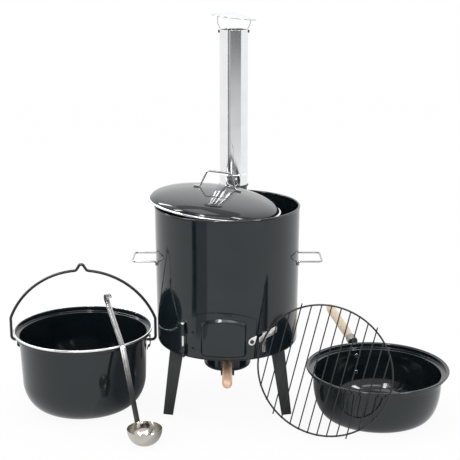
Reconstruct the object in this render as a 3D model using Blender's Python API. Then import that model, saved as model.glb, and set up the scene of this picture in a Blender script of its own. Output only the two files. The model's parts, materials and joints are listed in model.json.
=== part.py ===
# Cauldron stove set: an enamelled drum stove on three legs with a fire door, a chimney and an ash bowl,
# and with its loose pieces: lid, cauldron with a bail, pan, grill grate and ladle.
# Metres, +Z up. The stove's own axis is the origin while the pieces are made; the last step moves the
# whole set so that the origin lies under the middle of the set, on the ground.
# Azimuths are counted in degrees from the front (-Y) towards +X.

import bpy
import bmesh
from math import acos, asin, atan2, cos, degrees, hypot, pi, radians, sin, sqrt, tan, tau
from mathutils import Matrix, Vector

# Shared values
GAP = 0.0003                 # between pieces that touch
MERGE = 0.00001              # distance at which doubled points are merged
CUT = 0.004                  # overrun of a cutter past the wall that it cuts
SHEET = 0.0015               # enamelled sheet of the drum
POT_SHEET = 0.0013           # enamelled sheet of cauldron, pan and lid
THIN_SHEET = 0.0008          # stainless sheet of chimney and ladle
ROUND_SIDES = 36
PIPE_SIDES = 24
SMALL_SIDES = 10
WIRE_RING_SIDES = 48

# Drum
DRUM_FOOT_Z = 0.1555
DRUM_HEIGHT = 0.319
DRUM_FOOT_R = 0.1615
DRUM_TOP_R = 0.1640
DRUM_CORNER_R = 0.008
RIM_BEAD_R = 0.0025
RIM_BEAD_PROUD = 0.0012
ASH_HOLE_R = 0.0475

# Fire door and its opening
DOOR_LEFT_AZ = -33.6
DOOR_RIGHT_AZ = 23.0
DOOR_BOTTOM_Z = 0.1615
DOOR_SHOULDER_Z = 0.250
DOOR_CROWN_Z = 0.269
DOOR_LAP = 0.008             # door beyond its opening
PANEL_LEFT_AZ = -21.3
PANEL_RIGHT_AZ = 15.4
PANEL_BOTTOM_Z = 0.1665
PANEL_SHOULDER_Z = 0.245
PANEL_CROWN_Z = 0.2560
PANEL_RISE = 0.0038
PANEL_SLOPE = 0.0065
ARCH_STEPS = 8

# Hinge
HINGE_AZ = -35.2
HINGE_STANDOFF = 0.00706     # pin's axis beyond the drum's wall
PIN_R = 0.0025
PIN_BOTTOM_Z = 0.1570
PIN_LENGTH = 0.082
PIN_HEAD_R = 0.0042
PIN_HEAD_H = 0.0022
LEAF_SHEET = 0.0014
LEAF_HEIGHT = 0.012
LEAF_LENGTH_AZ = 7.5
DOOR_LEAF_LENGTH_AZ = 9.0
CURL_STEP = 30.0              # turn of one stretch of a leaf's curl, in degrees
CURL_STEPS = 10
BODY_LEAF_Z = (0.1660, 0.2285)
DOOR_LEAF_Z = (0.1788, 0.2157)

# Latch
LATCH_AZ = 19.1
LATCH_Z = 0.2006
LATCH_SHEET = 0.0018
LATCH_EYE_R = 0.0080
LATCH_HOLE_R = 0.0037
LATCH_NOSE_REACH = 0.0160
LATCH_NOSE_R = 0.0022
LATCH_REST_ANGLE = 49.0
LATCH_STANDOFF = 0.0006
RIVET_HEAD_H = 0.0012
RIVET_LIP = 0.0012
KEEPER_SHEET = 0.0016
KEEPER_STANDOFF = 0.0070
KEEPER_LEFT_AZ = 24.3
KEEPER_RIGHT_AZ = 41.5
KEEPER_LOW_Z = 0.1955
KEEPER_SLOPE = 17.0
KEEPER_WIDTHS = (0.0135, 0.0195, 0.0110)
KEEPER_TAIL = 0.0240
KEEPER_TAIL_WIDTH = 0.0115
KEEPER_TAIL_AZ = 30.0
KEEPER_RIVET_R = 0.0018
KEEPER_KNEE_SHARE = 0.667    # of its length, where it is widest
KEEPER_RAMP_SHARE = 0.5      # of its arm, taken by the ramp
KEEPER_RIVET_SHARE = 0.25    # of its width, from its middle to a rivet

# Legs
LEG_AZIMUTHS = (-60.0, 60.0, 180.0)
LEG_SHEET = 0.0016
LEG_INSET = 0.026            # leg's top inside the drum's foot
LEG_SPLAY = 0.030
LEG_TOP_R = DRUM_FOOT_R - LEG_INSET
LEG_FOOT_R = LEG_TOP_R + LEG_SPLAY
LEG_TOP_WIDTH = 0.042
LEG_FOOT_WIDTH = 0.025
LEG_TOP_DEPTH = 0.015
LEG_FOOT_DEPTH = 0.009
LEG_TAB_LENGTH = 0.026
LEG_TAB_SHARE = 0.667        # of the leg's width
LEG_BOLT_R = 0.003
LEG_BOLT_HEAD_R = 0.0058
LEG_BOLT_HEAD_H = 0.0034
LEG_NUT_H = 0.0040

# Side handles
HANDLE_WIRE_R = 0.0021
HANDLE_Z = 0.350
HANDLE_REACH = 0.0485
HANDLE_HALF_WIDTH = 0.0390
HANDLE_BEND_R = 0.008
HANDLE_FOOT = 0.009

# Inner supports for a pot's rim
SUPPORT_AZIMUTHS = (90.0, -30.0, -150.0)
SUPPORT_DROP = 0.032
SUPPORT_REACH = 0.0165
SUPPORT_HEIGHT = 0.018
SUPPORT_WIDTH = 0.024
SUPPORT_SHEET = 0.0016

# Fire grate on the floor of the drum
FIRE_GRATE_R = 0.066
FIRE_GRATE_H = 0.005
FIRE_SLOT_WIDTH = 0.006
FIRE_SLOT_PITCH = 0.0135
FIRE_SLOTS = 7

# Chimney
FLUE_AZ = 175.8
FLUE_Z = 0.425
FLUE_R = 0.0330
FLUE_SHEET = 0.0012
FLUE_BEND_R = 0.038
FLUE_STANDOFF = 0.042        # pipe's axis beyond the drum's wall
FLUE_INSIDE = 0.010
FLUE_TOP_Z = 0.520
FLUE_COLLAR_Z = 0.4790
FLUE_COLLAR_H = 0.004
FLUE_COLLAR_PROUD = 0.0028
PIPE_TOP_Z = 0.851
PIPE_BEAD_Z = 0.505
PIPE_BEAD_PROUD = 0.0010
PIPE_BEAD_H = 0.003

# Chimney cap
CAP_R = 0.053
CAP_RISE = 0.011
CAP_RAISE = 0.029            # cap's edge above the pipe
CAP_EDGE_Z = PIPE_TOP_Z + CAP_RAISE
CAP_TILT = 7.0
CAP_LIP = 0.0012
CAP_STRIP_WIDTH = 0.014
CAP_STRIP_SHEET = 0.0012
CAP_STRIP_FLARE = 0.0065
CAP_STRIP_RISE = 0.013
CAP_STRIP_TOP = 0.011
CAP_STRIP_INSIDE = 0.017
CAP_SCREW_DROP = 0.005       # screws below the pipe's edge
CAP_SCREW_Z = PIPE_TOP_Z - CAP_SCREW_DROP
CAP_SCREW_R = 0.0020
CAP_SCREW_HEAD_R = 0.0036
CAP_SCREW_HEAD_H = 0.0028

# Ash bowl
ASH_BOWL_R = 0.0545
ASH_BOWL_DEPTH = 0.064
ASH_BOWL_CORNER = 0.026
ASH_RIM = 0.0065
ASH_TOP_DROP = 0.0022        # top of the bowl's rim below the drum's floor
RAIL_SHEET = 0.0015
RAIL_LENGTH = 0.120
RAIL_LIP = 0.0055
ASH_GRIP_Z = 0.1185
ASH_GRIP_R = 0.0110
ASH_GRIP_LENGTH = 0.138
ASH_FERRULE_R = 0.0088
ASH_FERRULE_LENGTH = 0.014
ASH_BORE_SHARE = 0.72        # of the ferrule's radius

# Fit of the loose pieces in the drum's mouth
LEDGE_INSET = 0.0095         # inside of a pot's step within the drum's top radius
LEDGE_R = DRUM_TOP_R - LEDGE_INSET
LEDGE_DEPTH = 0.0105
LID_CLEAR = 0.0025
LID_R = LEDGE_R - LID_CLEAR

# Lid
LID_PLACE = (-0.0284, 0.0020)
LID_TILT = 6.73              # towards +X, in degrees
LID_TRIM_R = 0.0022
LID_SEAT_GAP = 0.0014         # ring above the rim where their circles cross
LID_FLANGE = 0.0095
LID_GROOVE = 0.0032
LID_GROOVE_WIDTH = 0.0055
LID_RISE = 0.0450
LID_HANDLE_WIRE_R = 0.0022
LID_HANDLE_FOOT_SPAN = 0.112
LID_HANDLE_FOOT = 0.014
LID_HANDLE_TOP_SPAN = 0.062
LID_HANDLE_RISE = 0.036
LID_HANDLE_SHIFT = 0.004
LID_HANDLE_BEND_R = 0.006

# Cauldron
POT_HEIGHT = 0.1850
POT_STEP = 0.012             # width of the step that a lid or a grate sits on
POT_R = LEDGE_R - POT_STEP
POT_CORNER_RUN = 0.0525
POT_CORNER_H = 0.070
POT_STEPS = 4
POT_FLANGE = 0.003
POT_RIM_R = LEDGE_R + POT_FLANGE
TRIM_PROUD = 0.002
TRIM_R = POT_RIM_R + TRIM_PROUD
TRIM_HALF_H = 0.0022
EAR_DROP = 0.0285
EAR_WIDTH = 0.017
EAR_SHEET = 0.0016
EAR_STANDOFF = 0.0095
EAR_HALF_BRIDGE = 0.0105
EAR_FOOT = 0.0075
BAIL_WIRE_R = 0.0030
BAIL_OVERHANG = 0.0075       # bail's sides beyond the trim
BAIL_HALF_SPAN = TRIM_R + BAIL_OVERHANG
BAIL_SHOULDER_H = 0.052
BAIL_CROWN_H = 0.167
BAIL_NOTCH_H = 0.181
BAIL_NOTCH_HALF = 0.011
BAIL_BEND_R = 0.009
BAIL_RUNNING_GAP = 0.0004
BAIL_CLEAR = 0.0041          # bail's axis from the drum's wall
BAIL_STEPS = 10
POT_FORWARD = 0.0165         # cauldron's middle in front of the drum's

# Pan
PAN_HEIGHT = 0.1125
PAN_STEP = 0.0135
PAN_R = LEDGE_R - PAN_STEP
PAN_CORNER_RUN = 0.029
PAN_CORNER_H = 0.080
PAN_FLANGE = 0.0075
PAN_RIM_R = LEDGE_R + PAN_FLANGE
PAN_SIDES = 48
PAN_BEAD_R = 0.0022
PAN_STEPS = 5
PAN_LAP_START = 3            # first of the wall's steps that the bracket lies on
PAN_HANDLE_AZ = -167.0
PAN_SOCKET_CLEAR = 0.0040    # socket beyond the pan's rim
PAN_SOCKET_R = 0.0122
PAN_SOCKET_LENGTH = 0.020
PAN_BORE_SHARE = 0.6         # of the socket's length
PAN_KNEE = 0.008
PAN_PLATE_WIDTH = 0.020
PAN_PLATE_SHEET = 0.0020
PAN_GRIP_R = 0.0112
PAN_GRIP_LENGTH = 0.175
PAN_GRIP_TILT = 9.0
PAN_RIVET_R = 0.0026
PAN_RIVET_HEAD_R = 0.0048
PAN_RIVET_HEAD_H = 0.0018

# Grill grate
GRATE_R = 0.148
GRATE_WIRE_R = 0.0020
GRATE_BAR_R = 0.0014
GRATE_BARS = 13
GRATE_EDGE = 0.022           # from the ring to the outermost bar
GRATE_PITCH = (GRATE_R - GRATE_EDGE) * 2 / (GRATE_BARS - 1)
GRATE_STUB = 0.010
GRATE_STUB_BARS = (2, 10)
GRATE_YAW = -16.4
GRATE_LEAN = 2.3
GRATE_BAR_TILT = 13.0
GRATE_ALONG_SHARE = 0.56     # of the pan's rim, from the pan's axis left to the grate's middle
GRATE_ALONG = PAN_RIM_R * GRATE_ALONG_SHARE
GRATE_ASIDE = 0.1468         # grate's middle beside the latch's keeper
GRATE_STANDOFF = 0.00734     # grate's plane in front of the latch's keeper

# Ladle
LADLE_OFFSET = (0.1560, -0.2265)     # from the cauldron's middle
LADLE_TURN = 28.0
LADLE_R = 0.0380
LADLE_HEIGHT = 0.036
LADLE_FLAT_R = 0.009
LADLE_STRIP_WIDTH = 0.0125
LADLE_STRIP_SHEET = 0.0018
LADLE_SIDES = 20
LADLE_STEPS = 6
LADLE_LAP_START = 4          # first of the wall's steps that the handle lies on
LADLE_RIM_GAP = 0.0010
LADLE_TOP_RUN = 0.086
LADLE_TOP_Z = 0.2678
LADLE_BEND_R = 0.020
LADLE_HOOK_R = 0.0085
LADLE_HOOK_TURN = 210.0
LADLE_HOOK_STEPS = 7
LADLE_RIVET_R = 0.0022
LADLE_RIVET_HEAD_R = 0.0038
LADLE_RIVET_HEAD_H = 0.0013

# Turned wooden grips: shares of their radius and of their length
GRIP_NECK_SHARE = 0.80
GRIP_SWELL_SHARES = (0.94, 0.10)
GRIP_FULL_SHARES = (0.35, 0.75)
GRIP_TIP_SHARE = 0.12
GRIP_TIP_STEPS = 3

# Colours: red, green and blue, roughness, metallic
ENAMEL = ("black enamel", (0.010, 0.012, 0.012), 0.12, 0.0)
BLACK_STEEL = ("black steel", (0.020, 0.020, 0.021), 0.38, 0.2)
STAINLESS = ("stainless steel", (0.62, 0.62, 0.63), 0.16, 1.0)
ZINC = ("zinc", (0.70, 0.71, 0.70), 0.30, 1.0)
BEECH = ("beech", (0.68, 0.47, 0.28), 0.50, 0.0)


def clear_scene():
    """Start from an empty scene."""
    for obj in list(bpy.data.objects):
        bpy.data.objects.remove(obj)


def finish_material(finish):
    """The material of a finish, made on first use."""
    name, colour, roughness, metallic = finish
    material = bpy.data.materials.get(name)
    if material is None:
        material = bpy.data.materials.new(name)
        material.use_nodes = True
        shader = material.node_tree.nodes["Principled BSDF"]
        shader.inputs["Base Color"].default_value = (*colour, 1.0)
        shader.inputs["Roughness"].default_value = roughness
        shader.inputs["Metallic"].default_value = metallic
        material.diffuse_color = (*colour, 1.0)
    return material


def pivot(name, place, carrier=None):
    """An empty at a place of the stove's frame, such as a joint's axis."""
    empty = bpy.data.objects.new(name, None)
    bpy.context.scene.collection.objects.link(empty)
    if carrier:
        hang(empty, carrier)
    empty.location = place
    return empty


def hang(obj, carrier):
    """Parent a piece whose own place is written in the stove's frame."""
    obj.parent = carrier
    obj.matrix_parent_inverse = Matrix.Translation(-carrier.location)


def add_piece(name, data, finish, carrier, smooth=radians(35)):
    """Link a mesh or curve as one named piece."""
    obj = bpy.data.objects.new(name, data)
    bpy.context.scene.collection.objects.link(obj)
    data.materials.append(finish_material(finish))
    if isinstance(data, bpy.types.Mesh):
        data.shade_smooth()
        data.set_sharp_from_angle(angle=smooth)
    hang(obj, carrier)
    return obj


def to_mesh(bm, name, matrix=None):
    """Turn a bmesh into a mesh, moved by a matrix where one is given."""
    if matrix is not None:
        bmesh.ops.transform(bm, matrix=matrix, verts=bm.verts)
    mesh = bpy.data.meshes.new(name)
    bm.to_mesh(mesh)
    bm.free()
    return mesh


def cutter(name, bm, carrier, matrix=None):
    """A hidden shape for a Boolean."""
    obj = bpy.data.objects.new(name, to_mesh(bm, name, matrix))
    bpy.context.scene.collection.objects.link(obj)
    hang(obj, carrier)
    obj.hide_render = True
    obj.display_type = "WIRE"
    return obj


def combine(obj, other, operation="DIFFERENCE"):
    """Cut, or join, a piece with a hidden shape."""
    modifier = obj.modifiers.new(other.name, "BOOLEAN")
    modifier.solver = "EXACT"
    modifier.operation = operation
    modifier.object = other


def thicken(obj, thickness, offset=0.0):
    """Give an open sheet its thickness."""
    modifier = obj.modifiers.new("sheet", "SOLIDIFY")
    modifier.thickness = thickness
    modifier.offset = offset
    modifier.use_even_offset = True


def arc(middle_x, middle_z, radius, start, end, steps):
    """Points of a circle's arc, with angles in degrees."""
    angles = [radians(start + (end - start) * step / steps) for step in range(steps + 1)]
    return [(middle_x + radius * cos(a), middle_z + radius * sin(a)) for a in angles]


def bowl_corner(flat, radius, height, steps):
    """Quarter of an ellipse from a bowl's flat base up to its wall."""
    angles = [radians(90 * step / steps) for step in range(steps + 1)]
    return [(flat + (radius - flat) * sin(a), height * (1 - cos(a))) for a in angles]


def stretch_seat(outline, index):
    """Middle and outward normal of one straight stretch of a bowl's outline."""
    start, end = Vector(outline[index]), Vector(outline[index + 1])
    ahead = (end - start).normalized()
    return (start + end) / 2, Vector((ahead.y, -ahead.x))


def lap_path(outline, first, lift):
    """Points that follow a bowl's outline at a distance, from its point first up to its upright wall."""
    path = []
    for index in range(first, len(outline)):
        below = stretch_seat(outline, max(index - 1, first))[1]
        above = Vector((1, 0)) if index == len(outline) - 1 else stretch_seat(outline, index)[1]
        point = Vector(outline[index]) + (below + above) / (1 + below.dot(above)) * lift
        path.append((point.x, point.y))
    return path


def rounded(points, radius, steps=4):
    """A path in space with each of its corners bent to an arc."""
    points = [Vector(p) for p in points]
    path = [points[0]]
    for before, corner, after in zip(points, points[1:], points[2:]):
        back = (before - corner).normalized()
        ahead = (after - corner).normalized()
        half = back.angle(ahead) / 2
        room = min((before - corner).length, (after - corner).length) / 2
        reach = min(radius / tan(half), room)
        centre = corner + (back + ahead).normalized() * (reach / cos(half))
        start = corner + back * reach - centre
        axis = ahead.cross(back)
        for step in range(steps + 1):
            spin = Matrix.Rotation((pi - 2 * half) * step / steps, 3, axis)
            path.append(centre + spin @ start)
    path.append(points[-1])
    return path


def turned(profile, sides, closed=True):
    """Spin a profile of (radius, height) points round Z."""
    bm = bmesh.new()
    points = [bm.verts.new((r, 0, z)) for r, z in profile]
    pairs = list(zip(points, points[1:]))
    if closed:
        pairs.append((points[-1], points[0]))
    edges = [bm.edges.new(pair) for pair in pairs]
    bmesh.ops.spin(bm, geom=points + edges, cent=(0, 0, 0), axis=(0, 0, 1), angle=tau, steps=sides,
                   use_merge=True)
    bmesh.ops.remove_doubles(bm, verts=bm.verts, dist=MERGE)
    bmesh.ops.recalc_face_normals(bm, faces=bm.faces)
    return bm


def plug(radius, start, end, sides=SMALL_SIDES):
    """A plain round bar along Z."""
    bm = bmesh.new()
    matrix = Matrix.Translation((0, 0, (start + end) / 2))
    bmesh.ops.create_cone(bm, cap_ends=True, segments=sides, radius1=radius, radius2=radius,
                          depth=end - start, matrix=matrix)
    return bm


def block(low, high):
    """A box between two corners."""
    bm = bmesh.new()
    bmesh.ops.create_cube(bm, size=1.0)
    low, high = Vector(low), Vector(high)
    size = Matrix.Diagonal((*(high - low), 1.0))
    bmesh.ops.transform(bm, matrix=Matrix.Translation((low + high) / 2) @ size, verts=bm.verts)
    return bm


def strip(path, width):
    """A sheet whose path of (x, z) points runs in the XZ plane, with its width along Y."""
    bm = bmesh.new()
    line = [bm.verts.new((x, -width / 2, z)) for x, z in path]
    edges = [bm.edges.new(pair) for pair in zip(line, line[1:])]
    side = bmesh.ops.extrude_edge_only(bm, edges=edges)["geom"]
    bmesh.ops.translate(bm, verts=[g for g in side if isinstance(g, bmesh.types.BMVert)], vec=(0, width, 0))
    bmesh.ops.recalc_face_normals(bm, faces=bm.faces)
    return bm


def wire(name, points, radius, finish, carrier, sides_level=1, cyclic=False):
    """A bent wire along points in the stove's frame."""
    curve = bpy.data.curves.new(name, "CURVE")
    curve.dimensions = "3D"
    spline = curve.splines.new("POLY")
    spline.points.add(len(points) - 1)
    for point, place in zip(spline.points, points):
        point.co = (*place, 1.0)
    spline.use_cyclic_u = cyclic
    curve.bevel_depth = radius
    curve.bevel_resolution = sides_level
    curve.use_fill_caps = not cyclic
    spline.use_smooth = True
    return add_piece(name, curve, finish, carrier)


def wall_radius(z):
    """Outer radius of the drum's wall at a height; the wall is straight from its corner to its bead."""
    neck = sqrt(RIM_BEAD_R ** 2 - (RIM_BEAD_R - RIM_BEAD_PROUD) ** 2)
    low = DRUM_FOOT_Z + DRUM_CORNER_R
    high = DRUM_FOOT_Z + DRUM_HEIGHT - RIM_BEAD_R - neck
    share = (z - low) / (high - low)
    return DRUM_FOOT_R + (DRUM_TOP_R - DRUM_FOOT_R) * share


def widest_wall(low, high):
    """Largest outer radius of the drum's wall between two heights."""
    return max(wall_radius(low), wall_radius(high))


def hinge_radius():
    """Distance of the door's pin from the stove's axis."""
    return widest_wall(PIN_BOTTOM_Z, PIN_BOTTOM_Z + PIN_LENGTH) + HINGE_STANDOFF


def flue_reach():
    """Distance of the chimney's axis from the stove's axis."""
    return widest_wall(FLUE_Z - FLUE_R, DRUM_FOOT_Z + DRUM_HEIGHT) + FLUE_STANDOFF


def pot_place():
    """Middle of the cauldron, with its bail clear of the drum's wall."""
    wall = wall_radius(POT_HEIGHT - EAR_DROP + BAIL_SHOULDER_H)
    return Vector((-(wall + BAIL_HALF_SPAN + BAIL_CLEAR), -POT_FORWARD))


def pan_place():
    """Middle of the pan, with the grate that leans on it clear of the latch's keeper."""
    wall = wall_radius(KEEPER_LOW_Z)
    keeper = around(KEEPER_LEFT_AZ, wall + KEEPER_STANDOFF + KEEPER_SHEET).to_2d()
    forward = around(GRATE_YAW, 1.0).to_2d()
    along = around(GRATE_YAW + 90, 1.0).to_2d()
    depth = keeper.dot(forward) + GRATE_STANDOFF - PAN_RIM_R
    return forward * depth + along * (keeper.dot(along) + GRATE_ASIDE + GRATE_ALONG)


def ladle_place():
    """Middle of the ladle's bowl."""
    return pot_place() + Vector(LADLE_OFFSET)


def around(azimuth, radius, z=0.0):
    """A point of the stove's frame from its azimuth, radius and height."""
    a = radians(azimuth)
    return Vector((radius * sin(a), -radius * cos(a), z))


def turn_to(azimuth):
    """Rotation that carries the front (-Y) to an azimuth."""
    return Matrix.Rotation(radians(azimuth), 4, "Z")


def facet_sag(radius, sides=ROUND_SIDES):
    """How far a facet's middle lies inside the true circle."""
    return radius * (1 - cos(pi / sides))


def wrap_on_drum(bm, middle_azimuth):
    """Bend a flat pattern round the drum: x is the arc, y the height above the wall, z the height."""
    for vert in bm.verts:
        arc_length, lift, z = vert.co
        azimuth = middle_azimuth + degrees(arc_length / DRUM_FOOT_R)
        vert.co = around(azimuth, wall_radius(z) + lift, z)


def slice_along_x(bm, low, high, pieces):
    """Cut a flat pattern at equal steps so that it can bend."""
    for step in range(1, pieces):
        place = (low + (high - low) * step / pieces, 0, 0)
        geometry = bm.verts[:] + bm.edges[:] + bm.faces[:]
        bmesh.ops.bisect_plane(bm, geom=geometry, dist=MERGE, plane_co=place, plane_no=(1, 0, 0))


def arch_outline(left, right, bottom, shoulder, crown):
    """An arched outline in the XZ plane: two bottom corners, then the arch from right to left."""
    half = (right - left) / 2
    rise = crown - shoulder
    radius = (half ** 2 + rise ** 2) / (2 * rise)
    spread = degrees(asin(half / radius))
    middle = (left + right) / 2
    arch = arc(middle, crown - radius, radius, 90 - spread, 90 + spread, ARCH_STEPS)
    return [(left, bottom), (right, bottom)] + arch


def prism(outline, start, end):
    """An outline of (x, z) points in the XZ plane, extruded along Y."""
    bm = bmesh.new()
    face = bm.faces.new([bm.verts.new((x, start, z)) for x, z in outline])
    side = bmesh.ops.extrude_face_region(bm, geom=[face])["geom"]
    far = [g for g in side if isinstance(g, bmesh.types.BMVert)]
    bmesh.ops.translate(bm, verts=far, vec=(0, end - start, 0))
    bmesh.ops.recalc_face_normals(bm, faces=bm.faces)
    return bm


def make_drum(root):
    """The drum: one turned shell with a rolled rim, an ash hole, a door opening and a flue hole."""
    top_z = DRUM_FOOT_Z + DRUM_HEIGHT
    bead_z = top_z - RIM_BEAD_R
    bead_r = DRUM_TOP_R - RIM_BEAD_R + RIM_BEAD_PROUD
    outer = degrees(acos((DRUM_TOP_R - bead_r) / RIM_BEAD_R))
    inner = degrees(acos((DRUM_TOP_R - SHEET - bead_r) / RIM_BEAD_R))
    inside_r = DRUM_CORNER_R - SHEET
    corner_r = DRUM_FOOT_R - DRUM_CORNER_R
    corner_z = DRUM_FOOT_Z + DRUM_CORNER_R
    profile = [(ASH_HOLE_R, DRUM_FOOT_Z)]
    profile += arc(corner_r, corner_z, DRUM_CORNER_R, -90, 0, 2)
    profile += arc(bead_r, bead_z, RIM_BEAD_R, -outer, 360 - inner, 6)
    profile += arc(corner_r, corner_z, inside_r, 0, -90, 2)
    profile += [(ASH_HOLE_R, DRUM_FOOT_Z + SHEET)]
    drum = add_piece("stove_body", to_mesh(turned(profile, ROUND_SIDES), "stove_body"), ENAMEL, root)

    outside = widest_wall(DRUM_FOOT_Z, top_z) + CUT
    middle = (DOOR_LEFT_AZ + DOOR_RIGHT_AZ) / 2
    half = DRUM_FOOT_R * sin(radians((DOOR_RIGHT_AZ - DOOR_LEFT_AZ) / 2)) - DOOR_LAP
    outline = arch_outline(-half, half, DOOR_BOTTOM_Z + DOOR_LAP, DOOR_SHOULDER_Z - DOOR_LAP,
                           DOOR_CROWN_Z - DOOR_LAP)
    opening = prism(outline, -outside, -DRUM_FOOT_R / 2)
    combine(drum, cutter("door_opening", opening, root, turn_to(middle)))

    flue = plug(FLUE_R + GAP, DRUM_FOOT_R / 2, outside, PIPE_SIDES)
    along = Matrix.Rotation(radians(90), 4, "X")
    flue_place = turn_to(FLUE_AZ) @ Matrix.Translation((0, 0, FLUE_Z)) @ along
    combine(drum, cutter("flue_hole", flue, root, flue_place))
    for number, azimuth in enumerate(LEG_AZIMUTHS, 1):
        hole = plug(LEG_BOLT_R + GAP, DRUM_FOOT_Z - CUT, DRUM_FOOT_Z + SHEET + CUT)
        place = Matrix.Translation(around(azimuth, leg_bolt_radius()))
        combine(drum, cutter(f"bolt_hole_{number}", hole, root, place))


def leg_bolt_radius():
    """Middle of a leg's tab, counted from the stove's axis."""
    return LEG_TOP_R - LEG_SHEET - LEG_TAB_LENGTH / 2


def tapered_channel(name, inset, top_z, open_back):
    """A splayed tapering block; inset shrinks it for the hollow inside a leg."""
    bm = bmesh.new()
    bmesh.ops.create_cube(bm, size=1.0)
    for vert in bm.verts:
        up = vert.co.z > 0
        width = (LEG_TOP_WIDTH if up else LEG_FOOT_WIDTH) / 2 - inset
        depth = (LEG_TOP_DEPTH if up else LEG_FOOT_DEPTH) + open_back
        front = (LEG_TOP_R if up else LEG_FOOT_R) - inset
        radius = front if vert.co.y < 0 else front + inset - depth
        vert.co = (width if vert.co.x > 0 else -width, -radius, top_z if up else 0)
    return bm


def make_legs(root):
    """Three splayed legs of folded sheet, each with a tab bolted under the floor."""
    top_z = DRUM_FOOT_Z - GAP
    for number, azimuth in enumerate(LEG_AZIMUTHS, 1):
        turn = turn_to(azimuth)
        name = f"leg_{number}"
        leg = add_piece(name, to_mesh(tapered_channel(name, 0.0, top_z, 0.0), name, turn), BLACK_STEEL, root)
        hollow = tapered_channel(name, LEG_SHEET, top_z, CUT)
        for vert in hollow.verts:
            share = (LEG_TOP_R - LEG_FOOT_R) / top_z
            overrun = CUT if vert.co.z > 0 else -CUT
            vert.co.z += overrun
            vert.co.y -= overrun * share
        combine(leg, cutter(f"{name}_hollow", hollow, root, turn))
        tab_half = LEG_TOP_WIDTH * LEG_TAB_SHARE / 2
        tab_low = (-tab_half, -LEG_TOP_R + LEG_SHEET / 2, top_z - LEG_SHEET)
        tab_high = (tab_half, -LEG_TOP_R + LEG_SHEET + LEG_TAB_LENGTH, top_z)
        combine(leg, cutter(f"{name}_tab", block(tab_low, tab_high), root, turn), "UNION")
        bolt_place = Matrix.Translation(around(azimuth, leg_bolt_radius()))
        hole = plug(LEG_BOLT_R + GAP, top_z - LEG_SHEET - CUT, top_z + CUT)
        combine(leg, cutter(f"{name}_hole", hole, root, bolt_place))
        make_leg_bolt(number, bolt_place, top_z - LEG_SHEET - GAP, root)


def make_leg_bolt(number, place, head_z, root):
    """A hexagon bolt from below and its nut on the drum's floor."""
    floor_z = DRUM_FOOT_Z + SHEET + GAP
    shank_top = floor_z + LEG_NUT_H + LEG_BOLT_R / 2
    low = head_z - LEG_BOLT_HEAD_H
    bolt = plug(LEG_BOLT_HEAD_R, low, head_z, 6)
    name = f"leg_bolt_{number}"
    bolt_piece = add_piece(name, to_mesh(bolt, name, place), BLACK_STEEL, root)
    shank = plug(LEG_BOLT_R, low + LEG_BOLT_HEAD_H / 2, shank_top)
    combine(bolt_piece, cutter(f"{name}_shank", shank, root, place), "UNION")
    name = f"leg_nut_{number}"
    hexagon = plug(LEG_BOLT_HEAD_R, floor_z, floor_z + LEG_NUT_H, 6)
    nut = add_piece(name, to_mesh(hexagon, name, place), ZINC, root)
    bore = plug(LEG_BOLT_R + GAP, DRUM_FOOT_Z, shank_top + CUT)
    combine(nut, cutter(f"{name}_bore", bore, root, place))


def make_side_handles(root):
    """Two wire loops, each bent down at its ends against the wall."""
    for name, side in (("side_handle_left", -1), ("side_handle_right", 1)):
        wall = widest_wall(HANDLE_Z - HANDLE_FOOT, HANDLE_Z) + GAP + HANDLE_WIRE_R
        start_x = sqrt(wall ** 2 - HANDLE_HALF_WIDTH ** 2)
        far_x = wall + HANDLE_REACH
        loop = [
            (side * start_x, -HANDLE_HALF_WIDTH, HANDLE_Z - HANDLE_FOOT),
            (side * start_x, -HANDLE_HALF_WIDTH, HANDLE_Z),
            (side * far_x, -HANDLE_HALF_WIDTH, HANDLE_Z),
            (side * far_x, HANDLE_HALF_WIDTH, HANDLE_Z),
            (side * start_x, HANDLE_HALF_WIDTH, HANDLE_Z),
            (side * start_x, HANDLE_HALF_WIDTH, HANDLE_Z - HANDLE_FOOT),
        ]
        wire(name, rounded(loop, HANDLE_BEND_R), HANDLE_WIRE_R, STAINLESS, root)


def make_supports(root):
    """Three folded brackets inside the drum that carry the rim of a pot, pan or grate."""
    z = DRUM_FOOT_Z + DRUM_HEIGHT - SUPPORT_DROP
    half = SUPPORT_SHEET / 2
    inner = min(wall_radius(z), wall_radius(z - SUPPORT_HEIGHT)) - SHEET
    chord = sqrt(inner ** 2 - (SUPPORT_WIDTH / 2) ** 2) - facet_sag(inner) - GAP - half
    path = [(chord, z - SUPPORT_HEIGHT), (chord, z - half), (chord + half - SUPPORT_REACH, z - half)]
    for number, azimuth in enumerate(SUPPORT_AZIMUTHS, 1):
        name = f"support_bracket_{number}"
        turn = turn_to(azimuth - 90)
        piece = add_piece(name, to_mesh(strip(path, SUPPORT_WIDTH), name, turn), BLACK_STEEL, root)
        thicken(piece, SUPPORT_SHEET)


def make_fire_grate(root):
    """A cast plate with slots that lies over the ash hole."""
    low = DRUM_FOOT_Z + SHEET + GAP
    disc = plug(FIRE_GRATE_R, low, low + FIRE_GRATE_H, ROUND_SIDES)
    plate = add_piece("fire_grate", to_mesh(disc, "fire_grate"), BLACK_STEEL, root)
    for number in range(FIRE_SLOTS):
        x = (number - (FIRE_SLOTS - 1) / 2) * FIRE_SLOT_PITCH
        length = sqrt((FIRE_GRATE_R - FIRE_SLOT_PITCH) ** 2 - x ** 2)
        corner = (x - FIRE_SLOT_WIDTH / 2, -length, low - CUT)
        far_corner = (x + FIRE_SLOT_WIDTH / 2, length, low + FIRE_GRATE_H + CUT)
        slot = block(corner, far_corner)
        combine(plate, cutter(f"fire_slot_{number}", slot, root))


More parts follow.
